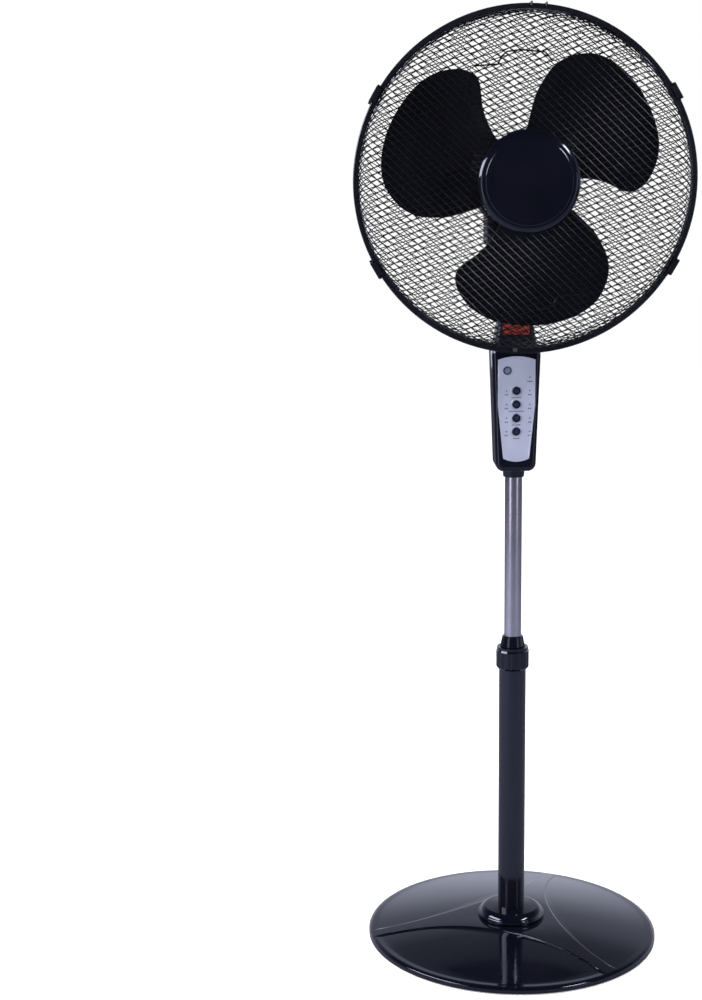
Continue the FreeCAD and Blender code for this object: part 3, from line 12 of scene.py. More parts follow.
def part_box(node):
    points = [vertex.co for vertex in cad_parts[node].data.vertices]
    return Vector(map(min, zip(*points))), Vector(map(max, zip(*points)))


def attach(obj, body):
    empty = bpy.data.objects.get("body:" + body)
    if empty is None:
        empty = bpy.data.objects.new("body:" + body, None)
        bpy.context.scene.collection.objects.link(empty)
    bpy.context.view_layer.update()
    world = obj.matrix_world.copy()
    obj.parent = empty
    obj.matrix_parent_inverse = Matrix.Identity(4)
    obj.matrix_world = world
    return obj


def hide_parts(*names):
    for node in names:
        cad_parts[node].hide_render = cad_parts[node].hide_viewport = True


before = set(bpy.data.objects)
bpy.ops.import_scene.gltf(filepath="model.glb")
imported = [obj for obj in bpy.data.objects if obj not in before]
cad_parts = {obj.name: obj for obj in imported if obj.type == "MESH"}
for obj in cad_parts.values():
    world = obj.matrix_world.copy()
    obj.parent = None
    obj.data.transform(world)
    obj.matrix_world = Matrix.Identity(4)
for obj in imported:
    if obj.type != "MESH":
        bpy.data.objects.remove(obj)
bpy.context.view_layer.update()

log = logging.getLogger("pedestal_fan")

Colour = tuple[float, float, float]
Span = tuple[float, float]
MeshData = tuple[list[Vector], list[tuple[int, ...]]]

MM = 0.001
PATCH_EDGES: Span = (0.32, 0.68)
GLOSS_EDGES: Span = (0.3, 0.7)
SMEARS_PER_PATCH = 2.7


# ---------------------------------------------------------------- finishes
class Grain(Enum):
    """Surface textures: (cells per metre, stretch of x, y and z, octaves)."""

    POLISHED = (230.0, (1.0, 1.0, 1.0), 2.0)
    MOULDED = (2600.0, (1.0, 1.0, 1.0), 4.0)
    DRAWN_UP = (1500.0, (1.0, 1.0, 0.012), 4.0)
    BRUSHED_ACROSS = (1900.0, (0.010, 1.0, 1.0), 5.0)
    CAST = (900.0, (1.0, 1.0, 1.0), 8.0)
    LAMINATED = (2200.0, (0.01, 1.0, 0.01), 2.0)
    WOUND = (1500.0, (0.12, 1.0, 0.12), 3.0)
    COATED = (1100.0, (1.0, 1.0, 1.0), 3.0)


@dataclass(frozen=True)
class Finish:
    """One surface finish of the fan, made from procedural nodes.

    Args:
        slot: The record's material slot this finish belongs to.
        colour: Main base colour, linear.
        tone: Second base colour that the first drifts to in soft patches.
        roughness: Lowest and highest roughness.
        grain: Texture of the bump.
        depth: Height of the bump in metres.
        patch: Patches of colour and gloss per metre.
        metallic: Metallic share of the shader.
        specular: Level of the mirror reflection.
        tint: Colour of the mirror reflection.
        coat: Weight of the clear coat.
        coat_roughness: Roughness of the clear coat.
        anisotropic: Stretch of the highlight.
        glow: Light given off.
        name: Name of the material, the slot's name if empty.
    """

    slot: str
    colour: Colour
    tone: Colour
    roughness: Span
    grain: Grain = Grain.MOULDED
    depth: float = 0.00002
    patch: float = 30.0
    metallic: float = 0.0
    specular: float = 0.5
    tint: Colour = (1.0, 1.0, 1.0)
    coat: float = 0.0
    coat_roughness: float = 0.04
    anisotropic: float = 0.0
    glow: float = 0.0
    name: str = ""

    def material(self) -> bpy.types.Material:
        """Builds the material, or returns it if it was built before.

        Returns:
            The node material.
        """
        name = self.name or self.slot + "_finish"
        made = bpy.data.materials.get(name)
        if made is not None:
            return made
        made = bpy.data.materials.new(name)
        made.use_nodes = True
        tree = made.node_tree
        shader = tree.nodes["Principled BSDF"]
        shader.inputs["Metallic"].default_value = self.metallic
        shader.inputs["Specular IOR Level"].default_value = self.specular
        shader.inputs["Specular Tint"].default_value = (*self.tint, 1.0)
        shader.inputs["Coat Weight"].default_value = self.coat
        shader.inputs["Coat Roughness"].default_value = self.coat_roughness
        shader.inputs["Anisotropic"].default_value = self.anisotropic
        self._paint(tree, shader)
        self._texture(tree, shader)
        return made

    def _paint(self, tree: bpy.types.NodeTree, shader: bpy.types.Node) -> None:
        """Links the drifting base colour and roughness.

        Args:
            tree: Node tree of the material.
            shader: Its Principled shader.
        """
        place = tree.nodes.new("ShaderNodeTexCoord")
        patches = tree.nodes.new("ShaderNodeTexNoise")
        patches.inputs["Scale"].default_value = self.patch
        patches.inputs["Detail"].default_value = 5.0
        tree.links.new(place.outputs["Object"], patches.inputs["Vector"])
        paint = tree.nodes.new("ShaderNodeValToRGB")
        paint.color_ramp.elements[0].position = PATCH_EDGES[0]
        paint.color_ramp.elements[0].color = (*self.colour, 1.0)
        paint.color_ramp.elements[1].position = PATCH_EDGES[1]
        paint.color_ramp.elements[1].color = (*self.tone, 1.0)
        tree.links.new(patches.outputs["Fac"], paint.inputs["Fac"])
        tree.links.new(paint.outputs["Color"], shader.inputs["Base Color"])
        gloss = tree.nodes.new("ShaderNodeMapRange")
        gloss.inputs["From Min"].default_value = GLOSS_EDGES[0]
        gloss.inputs["From Max"].default_value = GLOSS_EDGES[1]
        gloss.inputs["To Min"].default_value = self.roughness[0]
        gloss.inputs["To Max"].default_value = self.roughness[1]
        smears = tree.nodes.new("ShaderNodeTexNoise")
        smears.inputs["Scale"].default_value = self.patch * SMEARS_PER_PATCH
        smears.inputs["Detail"].default_value = 6.0
        tree.links.new(place.outputs["Object"], smears.inputs["Vector"])
        tree.links.new(smears.outputs["Fac"], gloss.inputs["Value"])
        tree.links.new(gloss.outputs["Result"], shader.inputs["Roughness"])
        if self.glow:
            shader.inputs["Emission Strength"].default_value = self.glow
            tree.links.new(paint.outputs["Color"], shader.inputs["Emission Color"])

    def _texture(self, tree: bpy.types.NodeTree, shader: bpy.types.Node) -> None:
        """Links the bump of the finish's grain.

        Args:
            tree: Node tree of the material.
            shader: Its Principled shader.
        """
        cells, stretch, octaves = self.grain.value
        place = tree.nodes.new("ShaderNodeTexCoord")
        stretched = tree.nodes.new("ShaderNodeMapping")
        stretched.inputs["Scale"].default_value = stretch
        noise = tree.nodes.new("ShaderNodeTexNoise")
        noise.inputs["Scale"].default_value = cells
        noise.inputs["Detail"].default_value = octaves
        bump = tree.nodes.new("ShaderNodeBump")
        bump.inputs["Distance"].default_value = self.depth
        tree.links.new(place.outputs["Object"], stretched.inputs["Vector"])
        tree.links.new(stretched.outputs["Vector"], noise.inputs["Vector"])
        tree.links.new(noise.outputs["Fac"], bump.inputs["Height"])
        tree.links.new(bump.outputs["Normal"], shader.inputs["Normal"])


BLUISH = (0.74, 0.78, 1.0)
GLOSS_BLACK = Finish("gloss_black", (0.0022, 0.0026, 0.0060), (0.0034, 0.0038, 0.0085), (0.05, 0.11),
                     Grain.POLISHED, 0.000012, 22.0, tint=BLUISH)
SATIN_BLACK = Finish("satin_black", (0.0045, 0.0050, 0.0085), (0.0070, 0.0076, 0.0120), (0.34, 0.46),
                     Grain.MOULDED, 0.000020, 40.0, specular=0.25, tint=BLUISH)
COVER_BLACK = Finish("satin_black", (0.0035, 0.0040, 0.0075), (0.0055, 0.0060, 0.0105), (0.40, 0.52),
                     Grain.MOULDED, 0.000020, 40.0, specular=0.06, tint=BLUISH, name="cover_black")
GUARD_BLACK = Finish("guard_black", (0.0050, 0.0055, 0.0090), (0.0080, 0.0085, 0.0130), (0.22, 0.34),
                     Grain.COATED, 0.000015, 60.0, tint=BLUISH)
WIRE_BLACK = Finish("guard_mesh", (0.0020, 0.0022, 0.0040), (0.0035, 0.0037, 0.0060), (0.15, 0.22),
                    Grain.COATED, 0.000012, 90.0, specular=0.35, tint=(0.86, 0.88, 1.0))
BLADE_BLACK = Finish("blade_black", (0.0032, 0.0033, 0.0050), (0.0048, 0.0050, 0.0075), (0.30, 0.40),
                     Grain.MOULDED, 0.000015, 18.0, specular=0.06, tint=BLUISH)
SILVER_FOIL = Finish("silver_panel", (0.440, 0.475, 0.640), (0.495, 0.530, 0.700), (0.36, 0.46),
                     Grain.BRUSHED_ACROSS, 0.000010, 26.0, metallic=0.35, anisotropic=0.4)
CHROME = Finish("chrome", (0.500, 0.480, 0.570), (0.550, 0.530, 0.620), (0.18, 0.26),
                Grain.DRAWN_UP, 0.000006, 30.0, metallic=1.0, anisotropic=0.5)
LACQUER = Finish("lower_tube", (0.0045, 0.0047, 0.0095), (0.0060, 0.0063, 0.0120), (0.06, 0.12),
                 Grain.POLISHED, 0.000008, 30.0, specular=0.62, tint=BLUISH)
WEIGHT_STEEL = Finish("weight_steel", (0.090, 0.088, 0.085), (0.150, 0.145, 0.140), (0.45, 0.65),
                      Grain.CAST, 0.000060, 14.0, metallic=0.7)
STEEL = Finish("steel", (0.480, 0.480, 0.500), (0.560, 0.560, 0.580), (0.22, 0.36),
               Grain.COATED, 0.000012, 80.0, metallic=1.0)
STACK_STEEL = Finish("stack_steel", (0.220, 0.220, 0.235), (0.330, 0.330, 0.350), (0.40, 0.55),
                     Grain.LAMINATED, 0.000060, 50.0, metallic=0.9)
COPPER = Finish("copper", (0.450, 0.160, 0.060), (0.600, 0.240, 0.100), (0.28, 0.42),
                Grain.WOUND, 0.000120, 60.0, metallic=0.9)
BRONZE = Finish("bronze", (0.420, 0.270, 0.120), (0.520, 0.350, 0.160), (0.36, 0.50),
                Grain.CAST, 0.000020, 90.0, metallic=1.0)
DIE_CAST = Finish("die_cast", (0.300, 0.305, 0.320), (0.400, 0.405, 0.420), (0.42, 0.58),
                  Grain.CAST, 0.000060, 40.0, metallic=0.8)
RUBBER = Finish("rubber", (0.0120, 0.0120, 0.0125), (0.0220, 0.0220, 0.0225), (0.70, 0.86),
                Grain.CAST, 0.000060, 70.0)
WINDOW = Finish("window", (0.150, 0.165, 0.260), (0.200, 0.220, 0.330), (0.08, 0.16),
                Grain.POLISHED, 0.000010, 160.0)
BOARD = Finish("board", (0.020, 0.110, 0.050), (0.035, 0.160, 0.070), (0.36, 0.50),
               Grain.COATED, 0.000030, 140.0)
LED = Finish("led", (0.045, 0.050, 0.075), (0.075, 0.080, 0.110), (0.10, 0.18),
             Grain.POLISHED, 0.000010, 300.0)
LABEL_RED = Finish("label_red", (0.260, 0.026, 0.018), (0.340, 0.040, 0.028), (0.38, 0.52),
                   Grain.COATED, 0.000010, 90.0)
INNER_PLASTIC = Finish("inner_plastic", (0.020, 0.020, 0.024), (0.032, 0.032, 0.038), (0.42, 0.58),
                       Grain.MOULDED, 0.000025, 60.0)
PRINT = Finish("satin_black", (0.050, 0.052, 0.100), (0.080, 0.082, 0.140), (0.42, 0.55),
               Grain.COATED, 0.000004, 200.0, name="panel_print")
FOIL_EDGE = Finish("silver_panel", (0.540, 0.560, 0.720), (0.600, 0.620, 0.780), (0.26, 0.36),
                   Grain.COATED, 0.000006, 120.0, metallic=0.6, name="foil_edge")
BUTTON_RING = Finish("gloss_black", (0.060, 0.075, 0.160), (0.080, 0.095, 0.190), (0.16, 0.26),
                     Grain.POLISHED, 0.000006, 120.0, name="button_ring")
BUTTON_GLOSS = Finish("gloss_black", (0.0040, 0.0060, 0.0170), (0.0060, 0.0085, 0.0220), (0.14, 0.22),
                      Grain.POLISHED, 0.000006, 120.0, tint=BLUISH, name="button_gloss")


# ---------------------------------------------------------------- mesh helpers
def dress(nodes: dict[str, Finish]) -> None:
    """Gives carried-over nodes their finish.

    Args:
        nodes: Finish of each node, by the node's name.
    """
    for name, finish in nodes.items():
        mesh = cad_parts[name].data
        for place in range(len(mesh.materials)):
            mesh.materials[place] = finish.material()
        log.info("dressed %s in %s", name, finish.slot)


def piece(name: str, data: MeshData, finish: Finish, body: str, label: str = "") -> bpy.types.Object:
    """Makes a smooth mesh piece that rides on a body.

    Args:
        name: Name of the piece.
        data: Points and faces, in metres in the part's frame.
        finish: Its finish.
        body: Body that it moves with.
        label: Node that it stands for, if any.

    Returns:
        The new object.
    """
    points, faces = data
    mesh = bpy.data.meshes.new(name)
    mesh.from_pydata([tuple(p) for p in points], [], faces)
    shape = bmesh.new()
    shape.from_mesh(mesh)
    bmesh.ops.recalc_face_normals(shape, faces=shape.faces)
    for face in shape.faces:
        face.smooth = True
    shape.to_mesh(mesh)
    shape.free()
    mesh.materials.append(finish.material())
    made = bpy.data.objects.new(name, mesh)
    bpy.context.scene.collection.objects.link(made)
    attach(made, body)
    if label:
        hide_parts(label)
    log.info("made %s on %s: %d faces", name, body, len(faces))
    return made


def joined(parts: Sequence[MeshData]) -> MeshData:
    """Puts several meshes into one.

    Args:
        parts: The meshes.

    Returns:
        Points and faces of all of them.
    """
    points: list[Vector] = []
    faces: list[tuple[int, ...]] = []
    for some, sides in parts:
        start = len(points)
        points.extend(some)
        faces.extend(tuple(i + start for i in side) for side in sides)
    return points, faces


def tube(path: Sequence[Vector], radius: float, sides: int = 6, closed: bool = False) -> MeshData:
    """A round wire along a path.

    Args:
        path: Points along the middle of the wire.
        radius: Radius of the wire.
        sides: Sides of its section.
        closed: True for a ring.

    Returns:
        Points and faces of the wire, with flat ends unless it is a ring.
    """
    count = len(path)
    points: list[Vector] = []
    across = None
    for i, here in enumerate(path):
        before = path[i - 1] if closed or i else here
        after = path[(i + 1) % count] if closed or i < count - 1 else here
        ahead = (after - before).normalized()
        if across is None:
            across = ahead.orthogonal().normalized()
        across = (across - ahead * across.dot(ahead)).normalized()
        other = ahead.cross(across)
        for k in range(sides):
            turn = math.tau * k / sides
            points.append(here + (across * math.cos(turn) + other * math.sin(turn)) * radius)
    faces: list[tuple[int, ...]] = []
    for i in range(count if closed else count - 1):
        low, high = i * sides, (i + 1) % count * sides
        faces.extend((low + k, low + (k + 1) % sides, high + (k + 1) % sides, high + k)
                     for k in range(sides))
    if not closed:
        faces.append(tuple(reversed(range(sides))))
        faces.append(tuple(range((count - 1) * sides, count * sides)))
    return points, faces


def lathe(profile: Sequence[Span], steps: int, place: Callable[[float, float, float], Vector]) -> MeshData:
    """A ring turned from a closed profile.

    Args:
        profile: (radius, height) pairs round the section.
        steps: Divisions round the ring.
        place: Gives the point for a radius, an angle in radians and a height.

    Returns:
        Points and faces of the ring.
    """
    count = len(profile)
    points = [place(r, math.tau * i / steps, h) for i in range(steps) for r, h in profile]
    faces: list[tuple[int, ...]] = []
    for i in range(steps):
        here, there = i * count, (i + 1) % steps * count
        faces.extend((here + k, here + (k + 1) % count, there + (k + 1) % count, there + k)
                     for k in range(count))
    return points, faces


def ring_section(radius: float, height: float, thick: float, steps: int = 10) -> list[Span]:
    """Round section of a torus at a radius and a height."""
    return [(radius + thick * math.cos(math.tau * k / steps), height + thick * math.sin(math.tau * k / steps))
            for k in range(steps)]


def smooth_step(share: float) -> float:
    """Eased share from 0 to 1."""
    share = min(1.0, max(0.0, share))
    return share * share * (3.0 - 2.0 * share)


def smooth_curve(before: float, start: float, end: float, after: float, share: float) -> float:
    """Value on a smooth curve through two values, led by one on either side of them.

    Args:
        before: Value before the first.
        start: First value.
        end: Second value.
        after: Value after the second.
        share: Place between the first and the second, from 0 to 1.

    Returns:
        The value there.
    """
    return 0.5 * (2 * start + (end - before) * share
                  + (2 * before - 5 * start + 4 * end - after) * share * share
                  + (3 * start - before - 3 * end + after) * share ** 3)


def slab(left: float, right: float, low: float, high: float, front: float, back: float) -> MeshData:
    """A thin upright mark with chamfered corners, seen from the front.

    Args:
        left: Lowest x.
        right: Highest x.
        low: Lowest z.
        high: Highest z.
        front: y of its face.
        back: y of its back.

    Returns:
        Points and faces.
    """
    cut = 0.3 * min(right - left, high - low)
    edge = [(left + cut, low), (right - cut, low), (right, low + cut), (right, high - cut),
            (right - cut, high), (left + cut, high), (left, high - cut), (left, low + cut)]
    points = [Vector((x, y, z)) for y in (front, back) for x, z in edge]
    count = len(edge)
    faces = [tuple(range(count)), tuple(reversed(range(count, 2 * count)))]
    faces += [(k, k + count, (k + 1) % count + count, (k + 1) % count) for k in range(count)]
    return points, faces


class FanAxis:
    """The horizontal axis of the fan: turns fan places into points of the frame."""

    def __init__(self) -> None:
        """Reads the axis from the motor's shaft."""
        low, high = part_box("motor_shaft")
        self.height = (low.z + high.z) / 2

    def at(self, radius: float, turn: float, forward: float) -> Vector:
        """Point at a radius, an angle in radians from +X and a place forward of the pole.

        Args:
            radius: Distance from the fan's axis.
            turn: Anticlockwise angle, seen from the front.
            forward: Distance in front of the pole's axis.

        Returns:
            The point.
        """
        return Vector((radius * math.cos(turn), -forward, self.height + radius * math.sin(turn)))


# ---------------------------------------------------------------- base
@dataclass
class Base:
    """Round weighted base: glossy cover with three sunk panels, weight, feet and pole flange."""

    radius: float = 203 * MM
    hole: float = 19.4 * MM
    flat: float = 47 * MM
    dome: float = 26.5 * MM
    rim: float = 9.5 * MM
    floor_gap: float = 2 * MM
    roll: float = 3 * MM
    step: float = 1.7 * MM
    step_width: float = 1.8 * MM
    front_panel: int = 2
    shallow: float = 0.28
    panel_edge: float = 188 * MM
    arc: float = 300 * MM
    arc_nearest: float = 58 * MM
    first_panel: float = 7.0
    wall: float = 2 * MM
    skirt: float = 4 * MM
    fade: float = 6 * MM
    return_step: float = 1.9 * MM
    hair: float = 0.001 * MM
    rays: int = 720
    flat_steps: int = 3
    crown_steps: int = 12
    wall_steps: int = 9
    panel_steps: int = 10
    return_steps: int = 6
    roll_steps: int = 6

    def height(self, radius: float) -> float:
        """Height of the dome at a radius."""
        share = max(0.0, (radius - self.flat) / (self.radius - self.flat))
        return self.dome - (self.dome - self.rim) * share ** 1.5

    def arc_place(self, turn: float) -> tuple[float, float]:
        """Where a ray from the pole meets a panel's arc, or the panels' edge if it meets none.

        Args:
            turn: Angle of the ray, in radians.

        Returns:
            The radius, and the depth of the panel there.
        """
        centre = self.arc + self.arc_nearest
        last = self.panel_edge - self.step_width
        for k in range(3):
            off = turn - math.radians(self.first_panel) - math.tau * k / 3
            root = self.arc ** 2 - (centre * math.sin(off)) ** 2
            if root > 0 and math.cos(off) > 0:
                place = centre * math.cos(off) - math.sqrt(root)
                if place < last:
                    return place, self.step * (1.0 if k == self.front_panel else self.shallow)
        return last, 0.0

    def ray(self, turn: float) -> list[Span]:
        """Profile of the cover along one ray.

        Args:
            turn: Angle of the ray, in radians.

        Returns:
            (radius, height) pairs from the hole to the lower edge.
        """
        start, depth = self.arc_place(turn)
        room = self.panel_edge - start
        drop = depth * smooth_step((room - self.step_width) / self.fade)
        width = min(self.step_width, room)
        line = [(self.hole + (self.flat - self.hole) * k / self.flat_steps, self.dome)
                for k in range(self.flat_steps)]
        for k in range(self.crown_steps + 1):
            r = self.flat + (start - self.flat) * k / self.crown_steps
            line.append((r, self.height(r)))
        for k in range(1, self.wall_steps + 1):
            r = start + width * k / self.wall_steps
            line.append((r, self.height(r) - drop * smooth_step(k / self.wall_steps)))
        inner = start + width
        for k in range(1, self.panel_steps + 1):
            r = inner + (self.panel_edge - inner + self.hair) * k / self.panel_steps
            line.append((r, self.height(r) - drop))
        for k in range(1, self.return_steps + 1):
            r = self.panel_edge + self.return_step * k
            line.append((r, self.height(r) - drop * (1 - smooth_step(k / self.return_steps))))
        low = self.rim - self.roll
        for k in range(1, self.roll_steps + 1):
            a = math.radians(90 - 90 / self.roll_steps * k)
            line.append((self.radius - self.roll + self.roll * math.cos(a), low + self.roll * math.sin(a)))
        line += [(self.radius, self.skirt), (self.radius, self.floor_gap)]
        return line

    def build(self) -> None:
        """Makes the cover and dresses the nodes of the base."""
        points: list[Vector] = []
        lines = 0
        for i in range(self.rays):
            turn = math.tau * i / self.rays
            line = self.ray(turn)
            lines = len(line)
            points += [Vector((r * math.cos(turn), r * math.sin(turn), z)) for r, z in line]
        faces: list[tuple[int, ...]] = []
        for i in range(self.rays):
            here, there = i * lines, (i + 1) % self.rays * lines
            faces.extend((here + k, here + k + 1, there + k + 1, there + k) for k in range(lines - 1))
        cover = piece("base_cover_domed", (points, faces), GLOSS_BLACK, "stand", "base_cover")
        wall = cover.modifiers.new("wall", "SOLIDIFY")
        wall.thickness = self.wall
        wall.offset = -1.0
        dress({"base_weight": WEIGHT_STEEL, "base_feet": RUBBER, "base_bolt": STEEL,
               "tube_foot": STEEL, "pole_flange": GLOSS_BLACK})


# ---------------------------------------------------------------- pole
@dataclass
class Pole:
    """Lacquered lower tube, clamp with its nut, and the chrome tube that slides in it."""

    def build(self) -> None:
        """Dresses the nodes of the pole."""
        dress({"lower_tube": LACQUER, "clamp_collet": GLOSS_BLACK, "lock_nut": GLOSS_BLACK,
               "upper_tube": CHROME, "tube_end_plug": INNER_PLASTIC, "mast_socket": GLOSS_BLACK})


# ---------------------------------------------------------------- control housing
@dataclass
class ControlHousing:
    """Black housing with its silver panel, push buttons, small lights and receiver window."""

    panel_straight: float = 764 * MM
    border_inset: float = 1.5 * MM
    border_wire: float = 0.32 * MM
    bulge: float = 4.5 * MM
    half_low: float = 17.6 * MM
    surround: float = 6.9 * MM
    surround_wire: float = 0.55 * MM
    button_ring: float = 1.8 * MM
    button_wire: float = 0.22 * MM
    button_sink: float = 0.08 * MM
    bezel: float = 4.9 * MM
    bezel_wire: float = 0.75 * MM
    bezel_sink: float = 0.2 * MM
    border_lift: float = 0.02 * MM
    border_steps: int = 14
    mark_depth: float = 0.05 * MM
    mark_gap: float = 0.35 * MM
    mark_half: float = 0.75 * MM
    light_marks: Span = (-13.4 * MM, 17.8 * MM)
    light_drop: float = 5.4 * MM
    light_length: float = 2.1 * MM
    top_rise: float = 12.5 * MM
    caption_drop: float = 9.2 * MM
    caption_length: float = 1.9 * MM
    caption_counts: tuple[int, ...] = (6, 9, 5, 4)

    def border_path(self) -> list[Vector]:
        """Closed path just inside the panel's outline, on its face.

        Returns:
            Points of the path.
        """
        low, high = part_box("panel_plate")
        y = low.y - self.border_lift
        inset = self.border_inset
        top, bottom = high.z - inset, low.z + inset
        half, half_low = high.x - inset, self.half_low - inset
        arch: list[Vector] = []
        steps = self.border_steps
        for k in range(steps + 1):
            share = 2 * k / steps - 1
            arch.append(Vector((half * share, y, top - self.bulge * share * share)))
        arch.append(Vector((half, y, self.panel_straight)))
        for k in range(steps + 1):
            share = 1 - 2 * k / steps
            arch.append(Vector((half_low * share, y, bottom + self.bulge * share * share)))
        arch.append(Vector((-half, y, self.panel_straight)))
        return arch

    def round_trim(self, node: str, radius: float, wire: float, sink: float) -> MeshData:
        """Thin ring round the middle of a node, at its face.

        Args:
            node: Node that the ring lies on or round.
            radius: Radius of the ring.
            wire: Radius of its section.
            sink: How far the ring's middle lies behind the face.

        Returns:
            Points and faces.
        """
        low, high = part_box(node)
        x, z = (low.x + high.x) / 2, (low.z + high.z) / 2
        return lathe(ring_section(radius, low.y + sink, wire, 8), 40,
                     lambda r, a, y: Vector((x + r * math.cos(a), y, z + r * math.sin(a))))

    def marks(self) -> MeshData:
        """Plain printed bars beside the lights and under the buttons.

        Returns:
            Points and faces.
        """
        low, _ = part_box("panel_plate")
        front = low.y - self.mark_depth
        parts: list[MeshData] = []
        for number, captions in enumerate(self.caption_counts, 1):
            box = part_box(f"button_{number}")
            z = (box[0].z + box[1].z) / 2
            rows = [(x, z - self.light_drop, 2, self.light_length) for x in self.light_marks]
            rows.append((0.0, z - self.caption_drop, captions, self.caption_length))
            if number == 1:
                rows.append((self.light_marks[1], z + self.top_rise, 3, self.light_length))
            for x, middle, count, length in rows:
                for k in range(count):
                    start = x + (k - count / 2) * (length + self.mark_gap)
                    parts.append(slab(start, start + length, middle - self.mark_half,
                                      middle + self.mark_half, front, low.y))
        return joined(parts)

    def build(self) -> None:
        """Makes the panel's trim and dresses the nodes of the housing."""
        piece("panel_border", tube(self.border_path(), self.border_wire, 6, True), FOIL_EDGE, "mast")
        piece("panel_marks", self.marks(), PRINT, "mast")
        plate_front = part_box("panel_plate")[0].y
        surrounds = []
        for number, letter in enumerate("abcd", 1):
            node = f"button_{number}"
            sink = plate_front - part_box(node)[0].y
            surrounds.append(self.round_trim(node, self.surround, self.surround_wire, sink))
            ring = self.round_trim(node, self.button_ring, self.button_wire, self.button_sink)
            piece(f"button_ring_{number}", ring, BUTTON_RING, f"button_{letter}")
            dress({node: BUTTON_GLOSS})
        piece("button_surrounds", joined(surrounds), SILVER_FOIL, "mast")
        bezel = self.round_trim("ir_window", self.bezel, self.bezel_wire, self.bezel_sink)
        piece("window_bezel", bezel, BUTTON_GLOSS, "mast")
        dress({"housing_front": GLOSS_BLACK, "housing_rear": COVER_BLACK, "housing_screws": STEEL,
               "panel_plate": SILVER_FOIL, "ir_window": WINDOW, "control_board": BOARD,
               "indicator_leds": LED, "run_capacitor": INNER_PLASTIC, "cord_inlet": RUBBER})


# ---------------------------------------------------------------- neck
@dataclass
class Neck:
    """Tapered column with the red patch, the tilt hinge and the swing socket."""

    def build(self) -> None:
        """Dresses the nodes of the neck."""
        dress({"neck_column": SATIN_BLACK, "neck_label": LABEL_RED, "tilt_bolt": STEEL,
               "tilt_knob": SATIN_BLACK, "tilt_yoke": DIE_CAST, "pivot_bush": BRONZE,
               "swing_arm": STEEL, "swing_crank": STEEL})


# ---------------------------------------------------------------- motor head
@dataclass
class MotorHead:
    """Motor with its cover, gear case and swing drive."""

    def build(self) -> None:
        """Dresses the nodes of the motor head."""
        dress({"gear_case": DIE_CAST, "pivot_shaft": STEEL, "swing_motor": DIE_CAST,
               "motor_front_plate": DIE_CAST, "motor_rear_plate": DIE_CAST, "motor_stator": STACK_STEEL,
               "stator_windings": COPPER, "motor_bearings": STEEL, "motor_cover": COVER_BLACK,
               "motor_shaft": STEEL, "rotor_core": STACK_STEEL})


# ---------------------------------------------------------------- wire guards
class Side(Enum):
    """Which half of the cage: the value points out of the cage along the axis."""

    FRONT = 1.0
    REAR = -1.0


